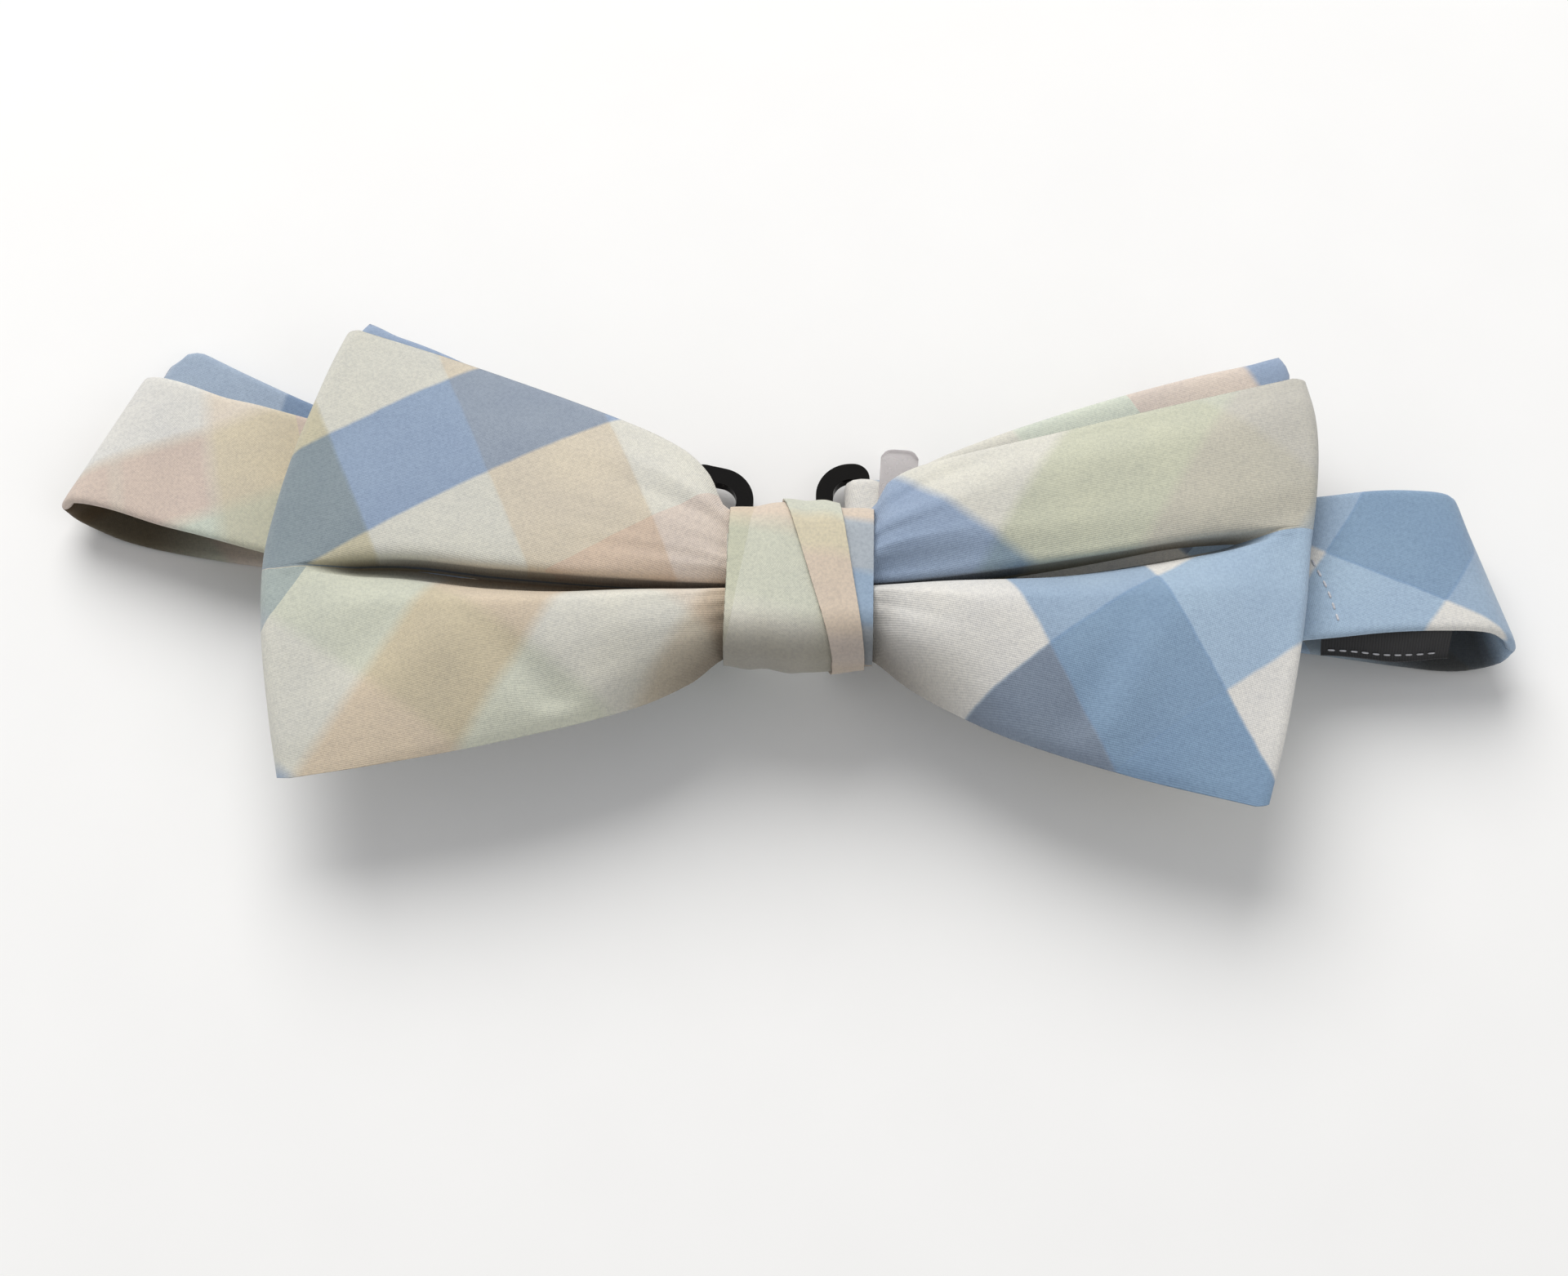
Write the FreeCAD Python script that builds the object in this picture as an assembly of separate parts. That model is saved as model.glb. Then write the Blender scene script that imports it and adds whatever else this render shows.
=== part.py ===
"""Pre-tied bow tie: two looped wings over two flat tails, gathered by a knot, on an adjustable strap.

The tie lies on its back. X runs along the bow, Y from its lower to its upper edge, Z out of its face.
The strap is folded in behind the bow on both sides and closed there with a hook and a ring.
Everything is laid out about the knot's centre on the resting plane, and the last step moves the origin to the
centre of the underside of the whole part's box. Sizes are in millimetres.
"""

import FreeCAD
import Part

import math
import os

V = FreeCAD.Vector
UP = V(0, 0, 1)
ACROSS = V(0, 1, 0)

# ---- driving dimensions --------------------------------------------------------------------------
# knot
KNOT_LEFT, KNOT_RIGHT = -9.3, 8.6
KNOT_HALF_HEIGHT = 9.75
KNOT_BACK_Z, KNOT_FRONT_Z = 9.7, 20.9
KNOT_WALL = 1.2
KNOT_CORNER = 4.5
PLEAT_THICKNESS = 0.6
PLEAT_OUTLINE = [(-1.9, 10.4), (4.6, 10.4), (7.2, -10.0), (4.1, -10.0)]

# gathered waist inside the knot
WAIST_HALF_HEIGHT = 7.6
TAIL_WAIST_HALF_HEIGHT = 6.0
TAIL_WAIST_Z = (11.0, 12.6)
LOOP_WAIST_Z = (12.7, 18.7)
PAD_Z = (18.9, 19.6)
WAIST_OVERLAP = 0.2
WAIST_CORNER = 2.4
WAIST_BRIDGE = (0.4, 2.0)
PAD_INSET, PAD_HALF_HEIGHT = 0.5, 5.0
THREAD = 0.4
THREAD_TURNS_X = (-2.0, 0.0, 2.0)
THREAD_SLACK = (0.05, 0.15)
ANCHOR_X, ANCHOR_Y = (-6.5, 5.5), (-3.0, -1.0, 1.0, 3.0)
ANCHOR_LENGTH, ANCHOR_WIDTH = 1.2, 0.5
TACKS, TACK_STEP, TACK_LENGTH = 7, 2.5, 1.8
TACK_FROM_BAR = 10.5

# wings
LEFT_START, RIGHT_START = -9.9, 9.2
LOOP_PLY = 1.0
LINING_PLY = 0.6
LAYER_GAP = 0.05
CREASE_HALF_WIDTH = 1.3
CREASE_BOTTOM_Z, CREASE_TOP_Z = 14.5, 30.0
CREASE_FLARE = 6.0
CREASE_START, CREASE_SHORT = 2.0, 1.5
LOOP_ROOT = 4.0
CROWN_SHARE = 0.4
CREASE_SEAM = 0.05
SWEEP_REACH = 1.3
TAIL_PLY = 0.6
TAIL_LINING = 0.5
LINING_SCALE = 0.92
WEDGE_REACH = 80.0

# strap
STRAP_WIDTH = 18.5
STRAP = 1.2
STRAP_Y0 = -0.5
FRONT_Z = 8.7
FLAT_Z = STRAP / 2
HINGE_GAP = 0.3
STRAP_GAP = 2.0
RISE_START, RISE_END = 12.0, 6.0
RISE_BEND = 60.0
LEFT_RAISE, RIGHT_RAISE = (18.0, 10.0), (-5.0, -15.0)
LOOP_TOP, LOOP_DESCENT = 2.5, 6.5
LOOP_BENDS = (4.0, 2.0)
LANE_BEND = 20.0
LEFT_FRONT_SLOPE, LEFT_RETURN_SLOPE = 15.8, 10.6
RIGHT_FRONT_SLOPE, RIGHT_RETURN_SLOPE = 4.6, -3.7
LEFT_FOLD_X, RIGHT_FOLD_X = -79.9, 75.7
RIGHT_FOLD_TOP_Z = 11.0

LEFT_LOOP_PLY, RIGHT_LOOP_PLY = 14.0, 9.0
SPARE_SLOPE, SPARE_END_X, SPARE_DESCENT = 19.5, -77.2, 6.0

# ring, hook, slider and keeper
BAR_RADIUS = 0.8
BAR_Z = 3.05
WRAP_RADIUS = 0.95 + STRAP / 2
RIM = 2.1
FRAME_THICKNESS = 1.6
FRAME_HEIGHT = 23.4
STRAP_SIDE_CORNER = 2.0
RING_BAR_X, RING_BAR_Y = -15.3, 10.4
RING_LENGTH, RING_CORNER = 8.8, 4.4
HOOK_BAR_X, HOOK_BAR_Y = 7.3, 10.0
HOOK_LENGTH, HOOK_CORNER = 6.6, 4.3
BAR_INSET = 1.0
BAR_NOTCH = 0.5
WINDOW_CORNER = 0.4
TONGUE_WIDTH = 5.0
TONGUE_Z = (1.1, 1.95)
CATCH_X = (-12.0, -11.0)
SLIDER_X = (47.0, 56.0)
SLIDER_BAR_RADIUS = 0.7
SLIDER_CLEARANCE, SLIDER_WALL = 0.35, 1.4
SLIDER_UNDER = (1.6, 0.75)
SLIDER_BAR_CLEARANCE = 0.2
SLIDER_TAIL = 3.2
BAR_EMBED = 0.2
KEEPER_X, KEEPER_Y = (9.0, 13.4), (-11.3, 13.2)
KEEPER_WALL, KEEPER_CORNER, KEEPER_CLEARANCE = 0.75, 2.0, 0.25

# woven label on the inside of the right front run
LABEL_X = (61.0, 75.0)
LABEL_THICKNESS = 0.35
LABEL_WIDTH = 16.0
LABEL_DROP = 0.7
STITCHES = 6
STITCH_TOP, STITCH_STEP, STITCH_LENGTH = 0.2, (0.62, 1.7), 1.2


# ---- small helpers -------------------------------------------------------------------------------
def unit(degrees):
    """Unit vector in the XY plane at that angle from +X."""
    a = math.radians(degrees)
    return V(math.cos(a), math.sin(a), 0)


def polygon(points, z=0.0):
    """Closed face on straight edges through (x, y) points at height z."""
    corners = [V(x, y, z) for x, y in points]
    return Part.Face(Part.makePolygon(corners + corners[:1]))


def box(x, y, z):
    """Box between the two ends of each range."""
    return Part.makeBox(x[1] - x[0], y[1] - y[0], z[1] - z[0], V(x[0], y[0], z[0]))


def rounded_rectangle(x, y, radius, z, right_radius=None):
    """Wire of a rectangle with round corners in the plane at height z; the right-hand pair may differ."""
    (x0, x1), (y0, y1) = x, y
    r, s = radius, radius if right_radius is None else right_radius
    c, d = (value * (1 - math.cos(math.pi / 4)) for value in (r, s))
    edges = [
        Part.LineSegment(V(x0 + r, y0, z), V(x1 - s, y0, z)),
        Part.Arc(V(x1 - s, y0, z), V(x1 - d, y0 + d, z), V(x1, y0 + s, z)),
        Part.LineSegment(V(x1, y0 + s, z), V(x1, y1 - s, z)),
        Part.Arc(V(x1, y1 - s, z), V(x1 - d, y1 - d, z), V(x1 - s, y1, z)),
        Part.LineSegment(V(x1 - s, y1, z), V(x0 + r, y1, z)),
        Part.Arc(V(x0 + r, y1, z), V(x0 + c, y1 - c, z), V(x0, y1 - r, z)),
        Part.LineSegment(V(x0, y1 - r, z), V(x0, y0 + r, z)),
        Part.Arc(V(x0, y0 + r, z), V(x0 + c, y0 + c, z), V(x0 + r, y0, z)),
    ]
    return Part.Wire([e.toShape() for e in edges])


def rounded_tube(x, y, z, wall, radius):
    """Tube along X with a round-cornered rectangular section of the given outer size."""
    outer = rounded_rectangle(y, z, radius, 0)
    inner_radius = max(radius - wall, 0.2)
    inner = rounded_rectangle((y[0] + wall, y[1] - wall), (z[0] + wall, z[1] - wall), inner_radius, 0)
    tube = Part.Face(outer).extrude(UP * (x[1] - x[0])).cut(Part.Face(inner).extrude(UP * (x[1] - x[0])))
    # local (u, v, w) become (Y, Z, X)
    tube.Placement = FreeCAD.Placement(V(x[0], 0, 0), FreeCAD.Rotation(ACROSS, UP, V(1, 0, 0), "ZXY"))
    return tube


# ---- strap bands: a thick path in a vertical plane, swept across the strap's width ---------------
class Lane:
    """Vertical plane through a point: u runs along a heading, z up, and sweep is across the strap."""

    def __init__(self, x, y, heading, sweep):
        self.start = V(x, y, 0)
        self.along = unit(heading)
        self.sweep = sweep

    def at(self, u, z):
        return self.start + self.along * u + UP * z

    def u_of_x(self, x):
        """Distance along the lane at which its centreline reaches that x."""
        return (x - self.start.x) / self.along.x


def side_edges(lane, points, radii, offset):
    """Edges of a path with rounded corners, moved sideways by offset (positive is left of the travel)."""
    edges = []
    last = None
    for i, (u, z) in enumerate(points):
        p = V(u, z, 0)
        if i in (0, len(points) - 1):
            q = V(*points[1 if i == 0 else i - 1], 0)
            t = (q - p if i == 0 else p - q).normalize()
            here = p + V(-t.y, t.x, 0) * offset
            if last is not None and (here - last).Length > 1e-6:
                edges.append(Part.LineSegment(lane.at(last.x, last.y), lane.at(here.x, here.y)))
            last = here
            continue
        t0 = (p - V(*points[i - 1], 0)).normalize()
        t1 = (V(*points[i + 1], 0) - p).normalize()
        left = 1 if t0.cross(t1).z > 0 else -1
        reach = radii[i - 1] * math.tan(t0.getAngle(t1) / 2)
        n0, n1 = V(-t0.y, t0.x, 0), V(-t1.y, t1.x, 0)
        centre = p - t0 * reach + n0 * (left * radii[i - 1])
        a = p - t0 * reach + n0 * offset
        b = p + t1 * reach + n1 * offset
        middle = centre + (p - centre).normalize() * (radii[i - 1] - left * offset)
        if (a - last).Length > 1e-6:
            edges.append(Part.LineSegment(lane.at(last.x, last.y), lane.at(a.x, a.y)))
        edges.append(Part.Arc(lane.at(a.x, a.y), lane.at(middle.x, middle.y), lane.at(b.x, b.y)))
        last = b
    return [e.toShape() for e in edges]


def band(lane, points, radii, thickness=STRAP, width=STRAP_WIDTH, round_end=False, shift=0.0):
    """Band of that thickness along a path of (u, z) points, centred on the lane, swept across its width."""
    left = side_edges(lane, points, radii, thickness / 2)
    right = side_edges(lane, points, radii, -thickness / 2)
    a, b = left[-1].Vertexes[-1].Point, right[-1].Vertexes[-1].Point
    if round_end:
        tip = (V(*points[-1], 0) - V(*points[-2], 0)).normalize() * (thickness / 2)
        cap = Part.Arc(a, lane.at(points[-1][0] + tip.x, points[-1][1] + tip.y), b).toShape()
    else:
        cap = Part.LineSegment(a, b).toShape()
    start = Part.LineSegment(right[0].Vertexes[0].Point, left[0].Vertexes[0].Point).toShape()
    face = Part.Face(Part.Wire(Part.__sortEdges__(left + [cap] + right + [start])))
    oblique = width / abs(lane.along.cross(lane.sweep).z)
    face.translate(lane.sweep * (shift - oblique / 2))
    return face.extrude(lane.sweep * oblique)


def arc_band(lane, centre_u, centre_z, radius, from_deg, to_deg):
    """Part of a fold: a curved band about (centre_u, centre_z), angles measured down from straight above."""

    def point(r, degrees):
        a = math.radians(degrees)
        return lane.at(centre_u + r * math.sin(a), centre_z + r * math.cos(a))

    middle = (from_deg + to_deg) / 2
    r0, r1 = radius - STRAP / 2, radius + STRAP / 2
    edges = [
        Part.Arc(point(r1, from_deg), point(r1, middle), point(r1, to_deg)),
        Part.LineSegment(point(r1, to_deg), point(r0, to_deg)),
        Part.Arc(point(r0, to_deg), point(r0, middle), point(r0, from_deg)),
        Part.LineSegment(point(r0, from_deg), point(r1, from_deg)),
    ]
    face = Part.Face(Part.Wire([e.toShape() for e in edges]))
    face.translate(lane.sweep * (-STRAP_WIDTH / 2))
    return face.extrude(lane.sweep * STRAP_WIDTH)


class Side:
    """One half of the strap: its fold, the lane of its front run and the lane of its return run."""

    def __init__(self, left):
        self.sign = -1 if left else 1
        front = LEFT_FRONT_SLOPE if left else RIGHT_FRONT_SLOPE
        back = LEFT_RETURN_SLOPE if left else RIGHT_RETURN_SLOPE
        mean = (front + back) / 2
        self.sweep = unit(90 - mean) if left else unit(90 + mean)
        headings = [180 - s for s in (front, back, mean)] if left else [front, back, mean]
        self.fold_x = LEFT_FOLD_X if left else RIGHT_FOLD_X
        self.fold_y = STRAP_Y0 + abs(self.fold_x) * math.tan(math.radians(front))
        self.top_z = FRONT_Z if left else RIGHT_FOLD_TOP_Z
        self.radius = (self.top_z - FLAT_Z) / 2
        self.centre_z = self.top_z - self.radius
        self.front = Lane(0, STRAP_Y0, headings[0], self.sweep)
        # the return lane starts at the fold, and u is negative towards the knot
        self.back = Lane(self.fold_x, self.fold_y, headings[1], self.sweep)
        self.turn = Lane(self.fold_x, self.fold_y, headings[2], self.sweep)
        # the same return lane, swept square to its heading, for the pieces at the slider
        self.square = Lane(self.fold_x, self.fold_y, headings[1], unit(90 + headings[1]))
        self.fold_u = self.front.u_of_x(self.fold_x)

    def hinge(self, degrees):
        """Point of the fold's middle line where it hinges."""
        a = math.radians(degrees)
        return self.turn.at(self.radius * math.sin(a), self.centre_z + self.radius * math.cos(a))


def eighth_turn(start_u, start_z, radius, down):
    """Last two path points of a run that ends in an eighth of a turn, tangent to the run at start_u."""
    reach = radius * math.tan(math.pi / 8)
    drop = -reach * math.sin(math.pi / 4) if down else reach * math.sin(math.pi / 4)
    return [(start_u + reach, start_z), (start_u + reach * (1 + math.cos(math.pi / 4)), start_z + drop)]


def front_run(side):
    """The strap from the knot's back to the first eighth of its fold."""
    end = eighth_turn(side.fold_u, side.top_z, side.radius, True)
    if side.sign < 0:
        return band(side.front, [(STRAP_GAP, FRONT_Z)] + end, [side.radius], round_end=True)
    rise = [(STRAP_GAP, FRONT_Z), (RISE_START, FRONT_Z), (side.fold_u - RISE_END, side.top_z)]
    return band(side.front, rise + end, [RISE_BEND, RISE_BEND, side.radius], round_end=True)


def fold_band(side):
    """The middle quarter of the fold, with a hinge at each end."""
    gap = math.degrees((STRAP / 2 + HINGE_GAP) / side.radius)
    return arc_band(side.turn, 0, side.centre_z, side.radius, 45 + gap, 135 - gap)


def return_run(side):
    """The strap from the fold back to the ring's or hook's bar, round the bar and back over itself."""
    reach = side.radius * math.tan(math.pi / 8)
    turn = [
        (reach * (1 + math.cos(math.pi / 4)), FLAT_Z + reach * math.sin(math.pi / 4)),
        (reach, FLAT_Z),
    ]
    bar_u = side.back.u_of_x(RING_BAR_X if side.sign < 0 else HOOK_BAR_X)
    low, high = BAR_Z - WRAP_RADIUS, BAR_Z + WRAP_RADIUS
    laid = low + STRAP + LAYER_GAP
    if side.sign < 0:
        raise_start, raise_end = (bar_u + distance for distance in LEFT_RAISE)
    else:
        raise_start, raise_end = RIGHT_RAISE
    path = turn + [
        (raise_start, FLAT_Z),
        (raise_end, low),
        (bar_u - WRAP_RADIUS, low),
        (bar_u - WRAP_RADIUS, high),
        (bar_u + LOOP_TOP, high),
        (bar_u + LOOP_DESCENT, laid),
        (bar_u + (LEFT_LOOP_PLY if side.sign < 0 else RIGHT_LOOP_PLY), laid),
    ]
    radii = [*LOOP_BENDS, WRAP_RADIUS, WRAP_RADIUS, LANE_BEND, LANE_BEND, side.radius]
    return band(side.back, path[::-1], radii, round_end=True)


def spare_end(side):
    """The strap's spare end beyond its sewn loop, lying loosely on the return run and askew to it."""
    seam_u = side.back.u_of_x(RING_BAR_X) + LEFT_LOOP_PLY
    seam = side.back.at(seam_u, 0)
    lane = Lane(seam.x, seam.y, 180 - SPARE_SLOPE, side.sweep)
    laid = low_return_z() + STRAP + LAYER_GAP
    resting = FLAT_Z + STRAP + 2 * LAYER_GAP
    path = [(HINGE_GAP, laid), (SPARE_DESCENT, resting), (lane.u_of_x(SPARE_END_X), resting)]
    return band(lane, path, [LANE_BEND])


# ---- wings ---------------------------------------------------------------------------------------
def edge_curve(points):
    """Smooth curve through (x, y) points."""
    curve = Part.BSplineCurve()
    curve.interpolate([V(x, y, 0) for x, y in points])
    return curve.toShape()


def line(p, q):
    return Part.LineSegment(V(*p, 0), V(*q, 0)).toShape()


class Wing:
    """The outline and levels of one wing. Edge points run from the knot outwards."""

    def __init__(self, sign, top, bottom, crease, tail_top, tail_bottom, tail_z, loop_z, front_z):
        self.sign = sign
        self.top, self.bottom, self.crease = top, bottom, crease
        self.tail_top, self.tail_bottom = tail_top, tail_bottom
        self.tail_z, self.loop_z, self.front_z = tail_z, loop_z, front_z


LEFT_WING = Wing(
    -1,
    top=[(LEFT_START, 11.4), (-13.0, 15.2), (-21.6, 20.4), (-32.0, 25.5), (-43.0, 30.6), (-53.6, 35.5)],
    bottom=[(LEFT_START, -8.6), (-20.0, -15.6), (-36.0, -19.8), (-59.3, -23.4)],
    crease=[(LEFT_START, 0.0), (-63.6, 3.5)],
    tail_top=[(LEFT_START, 8.4), (-15.0, 14.6), (-24.0, 20.6), (-34.0, 26.0), (-44.5, 31.6), (-54.9, 37.2)],
    tail_bottom=[(LEFT_START, -7.6), (-20.0, -12.6), (-36.0, -16.2), (-58.0, -19.5)],
    tail_z=(10.8, 10.2),
    loop_z=(12.9, 12.4),
    front_z=(18.8, 20.6, 17.6),
)
RIGHT_WING = Wing(
    1,
    top=[(RIGHT_START, 11.0), (14.0, 13.9), (31.9, 19.2), (45.8, 23.0), (60.9, 27.3)],
    bottom=[(RIGHT_START, -9.4), (15.9, -14.2), (25.2, -19.0), (39.2, -23.9), (53.9, -27.3)],
    crease=[(RIGHT_START, 0.0), (60.2, 8.4)],
    tail_top=[(RIGHT_START, 9.4), (17.6, 17.2), (32.5, 23.4), (46.6, 28.0), (59.4, 31.3)],
    tail_bottom=[(RIGHT_START, -7.6), (20.0, -12.0), (34.0, -16.0), (52.0, -21.0)],
    tail_z=(10.8, 12.1),
    loop_z=(12.9, 14.2),
    front_z=(18.8, 21.2, 18.6),
)


def loop_profile(wing, inset):
    """Closed outline of the flattened loop seen along Y, inset from its outer surface."""
    s = wing.sign
    x0 = wing.crease[0][0] - s * LOOP_ROOT
    x1 = wing.crease[1][0]
    back0, back1 = (z + inset for z in wing.loop_z)
    waist, crown, tip = (z - inset for z in wing.front_z)
    mid_tip = (back1 + tip) / 2
    radius = (tip - back1) / 2
    x_turn = x1 - s * (radius + inset)
    x_crown = x0 + (x_turn - x0) * CROWN_SHARE
    edges = [
        Part.LineSegment(V(x0, 0, back0), V(x_turn, 0, back1)),
        Part.Arc(V(x_turn, 0, back1), V(x_turn + s * radius, 0, mid_tip), V(x_turn, 0, tip)),
        Part.Arc(V(x_turn, 0, tip), V(x_crown, 0, crown), V(x0, 0, waist)),
        Part.LineSegment(V(x0, 0, waist), V(x0, 0, back0)),
    ]
    return Part.Face(Part.Wire([e.toShape() for e in edges]))


def loop_halves(wing, inset, ply):
    """The loop's band between two insets, as its halves above and below the crease that pinches it together.

    Each half is swept along its own straight outer fold, so the wing's end follows the outline.
    """
    halves = []
    for edge, side in ((wing.top, 1), (wing.bottom, -1)):
        inner_end, foot = (V(x, y + side * CREASE_SEAM, 0) for x, y in wing.crease)
        tip = V(*edge[-1], 0)
        sweep = (tip - foot) * SWEEP_REACH
        prisms = []
        for face in (loop_profile(wing, inset), loop_profile(wing, inset + ply)):
            face.translate(V(0, foot.y, 0) - sweep / 2)
            prisms.append(face.extrude(sweep * 1.5))
        ends = [line(edge[-1], (foot.x, foot.y)), line((foot.x, foot.y), (inner_end.x, inner_end.y))]
        outline = Part.Wire([edge_curve(edge), *ends, line((inner_end.x, inner_end.y), edge[0])])
        window = Part.Face(outline).extrude(UP * WEDGE_REACH)
        halves.append(prisms[0].common(window).cut(prisms[1]).cut(crease_wedge(wing)))
    return Part.makeCompound([solid for half in halves for solid in half.Solids])


def crease_wedge(wing):
    """Groove along the middle of the wing's front, as deep as the front panel and a little more."""
    (x0, y0), (x1, y1) = wing.crease
    heading = V(x1 - x0, y1 - y0, 0).normalize()
    normal = heading.cross(UP)
    start = V(x0, y0, 0) - heading * CREASE_START
    half = CREASE_HALF_WIDTH * (CREASE_TOP_Z - CREASE_BOTTOM_Z) / CREASE_FLARE
    edges = [start + normal * (half * side) + UP * CREASE_TOP_Z for side in (1, -1)]
    corners = [start + UP * CREASE_BOTTOM_Z, *edges]
    length = V(x1 - x0, y1 - y0, 0).Length - CREASE_SHORT
    return Part.Face(Part.makePolygon(corners + corners[:1])).extrude(heading * (length + CREASE_START))


def tail_plate(wing, bottom_offset, thickness, scale):
    """Flat layer of the tail between its outline edges, tilted along its length and shrunk by scale."""
    top, bottom = wing.tail_top, wing.tail_bottom
    ends = [line(top[-1], bottom[-1]), line(bottom[0], top[0])]
    outline = Part.Wire([edge_curve(top), ends[0], edge_curve(bottom), ends[1]])
    window = Part.Face(outline.scaled(scale, outline.BoundBox.Center)).extrude(UP * WEDGE_REACH)
    x0, x1 = top[0][0], top[-1][0]
    slope = (wing.tail_z[1] - wing.tail_z[0]) / (x1 - x0)
    reach = WEDGE_REACH * wing.sign
    y = -WEDGE_REACH
    z0, z1 = (wing.tail_z[0] + bottom_offset + slope * (x - x0) for x in (0, reach))
    wedge = [V(0, y, z0), V(reach, y, z1), V(reach, y, z1 + thickness), V(0, y, z0 + thickness)]
    return Part.Face(Part.makePolygon(wedge + wedge[:1])).extrude(ACROSS * 2 * WEDGE_REACH).common(window)


def tail_layers(wing):
    """The tail's back ply, interlining and front ply, one above the other."""
    middle = TAIL_PLY + LAYER_GAP
    front = middle + TAIL_LINING + LAYER_GAP
    return {
        "tail_back": tail_plate(wing, 0, TAIL_PLY, 1),
        "tail_interlining": tail_plate(wing, middle, TAIL_LINING, LINING_SCALE),
        "tail_front": tail_plate(wing, front, TAIL_PLY, 1),
    }


# ---- knot and waist ------------------------------------------------------------------------------
def knot_wrap():
    y = (-KNOT_HALF_HEIGHT, KNOT_HALF_HEIGHT)
    return rounded_tube((KNOT_LEFT, KNOT_RIGHT), y, (KNOT_BACK_Z, KNOT_FRONT_Z), KNOT_WALL, KNOT_CORNER)


def knot_pleat():
    """Folded edge of the wrap: it crosses the knot's front on a slant and follows its rounded ends."""
    edge = KNOT_HALF_HEIGHT + PLEAT_THICKNESS
    z = (KNOT_BACK_Z - PLEAT_THICKNESS, KNOT_FRONT_Z + PLEAT_THICKNESS)
    radius = KNOT_CORNER + PLEAT_THICKNESS
    skin = rounded_tube((KNOT_LEFT, KNOT_RIGHT), (-edge, edge), z, PLEAT_THICKNESS, radius)
    return skin.common(polygon(PLEAT_OUTLINE, KNOT_FRONT_Z - KNOT_CORNER).extrude(UP * 2 * KNOT_CORNER))


def knot_padding():
    x = (KNOT_LEFT + PAD_INSET, KNOT_RIGHT - PAD_INSET)
    return box(x, (-PAD_HALF_HEIGHT, PAD_HALF_HEIGHT), PAD_Z)


def loop_waist():
    """The gathered middle of the looped piece: two plump halves with the crease between them."""
    x = (KNOT_LEFT - WAIST_OVERLAP, KNOT_RIGHT + WAIST_OVERLAP)
    half_width, height = WAIST_BRIDGE
    crease = half_width / 2
    upper = rounded_bar(x, (crease, WAIST_HALF_HEIGHT), LOOP_WAIST_Z, WAIST_CORNER)
    lower = rounded_bar(x, (-WAIST_HALF_HEIGHT, -crease), LOOP_WAIST_Z, WAIST_CORNER)
    bridge = box(x, (-half_width, half_width), (LOOP_WAIST_Z[0], LOOP_WAIST_Z[0] + height))
    return upper.fuse([lower, bridge]).removeSplitter()


def rounded_bar(x, y, z, radius):
    """Bar along X with a round-cornered rectangular section."""
    bar = Part.Face(rounded_rectangle(y, z, radius, 0)).extrude(UP * (x[1] - x[0]))
    bar.Placement = FreeCAD.Placement(V(x[0], 0, 0), FreeCAD.Rotation(ACROSS, UP, V(1, 0, 0), "ZXY"))
    return bar


def tail_waist():
    x = (KNOT_LEFT - WAIST_OVERLAP, KNOT_RIGHT + WAIST_OVERLAP)
    return box(x, (-TAIL_WAIST_HALF_HEIGHT, TAIL_WAIST_HALF_HEIGHT), TAIL_WAIST_Z)


def waist_thread():
    """Three turns of thread that hold the gathers."""
    y = (-WAIST_HALF_HEIGHT - THREAD, WAIST_HALF_HEIGHT + THREAD)
    z = (LOOP_WAIST_Z[0] - THREAD_SLACK[0], LOOP_WAIST_Z[1] + THREAD_SLACK[1])
    turns = []
    for x in THREAD_TURNS_X:
        turn = rounded_tube((x, x + THREAD), y, z, THREAD, WAIST_CORNER + THREAD / 2)
        turns.append(turn.cut(loop_waist()).cut(tail_waist()))
    return Part.makeCompound([s for t in turns for s in t.Solids])


def anchor_stitches():
    """Thread bars that sew the two strap halves to the back of the knot."""
    z = (FRONT_Z + STRAP / 2, KNOT_BACK_Z)
    half = ANCHOR_WIDTH / 2
    bars = [box((x, x + ANCHOR_LENGTH), (y - half, y + half), z) for x in ANCHOR_X for y in ANCHOR_Y]
    return Part.makeCompound(bars)


# ---- ring, hook, slider, keeper and label --------------------------------------------------------
def cross_bar(x, y_centre, z, radius, half_length):
    return Part.makeCylinder(radius, 2 * half_length, V(x, y_centre - half_length, z), ACROSS)


def frame(length, corner):
    """Flat frame about the middle of its strap bar, which lies along Y; the frame runs from it towards +X.

    The strap bar is round, so that the strap's loop turns freely on it.
    """
    x, y = (-BAR_INSET, length - BAR_INSET), (-FRAME_HEIGHT / 2, FRAME_HEIGHT / 2)
    z0 = -FRAME_THICKNESS / 2
    outer = Part.Face(rounded_rectangle(x, y, STRAP_SIDE_CORNER, z0, corner))
    window_x, window_y = (BAR_RADIUS, x[1] - RIM), (y[0] + RIM, y[1] - RIM)
    inner_corner = max(corner - RIM, WINDOW_CORNER)
    window = Part.Face(rounded_rectangle(window_x, window_y, WINDOW_CORNER, z0, inner_corner))
    shape = outer.extrude(UP * FRAME_THICKNESS).cut(window.extrude(UP * FRAME_THICKNESS))
    notch_x = (2 * x[0], BAR_RADIUS + BAR_NOTCH)
    shape = shape.cut(box(notch_x, window_y, (-FRAME_THICKNESS, FRAME_THICKNESS)))
    bar = cross_bar(0, 0, 0, BAR_RADIUS, window_y[1] + BAR_EMBED)
    return shape.fuse(bar).removeSplitter()


def ring(side):
    """The ring, turned so that its strap bar lies along the left strap's width."""
    shape = frame(RING_LENGTH, RING_CORNER)
    heading = math.degrees(math.atan2(side.sweep.y, side.sweep.x)) - 90
    shape.rotate(V(0, 0, 0), UP, heading)
    shape.translate(V(RING_BAR_X, RING_BAR_Y, BAR_Z))
    return shape


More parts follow.
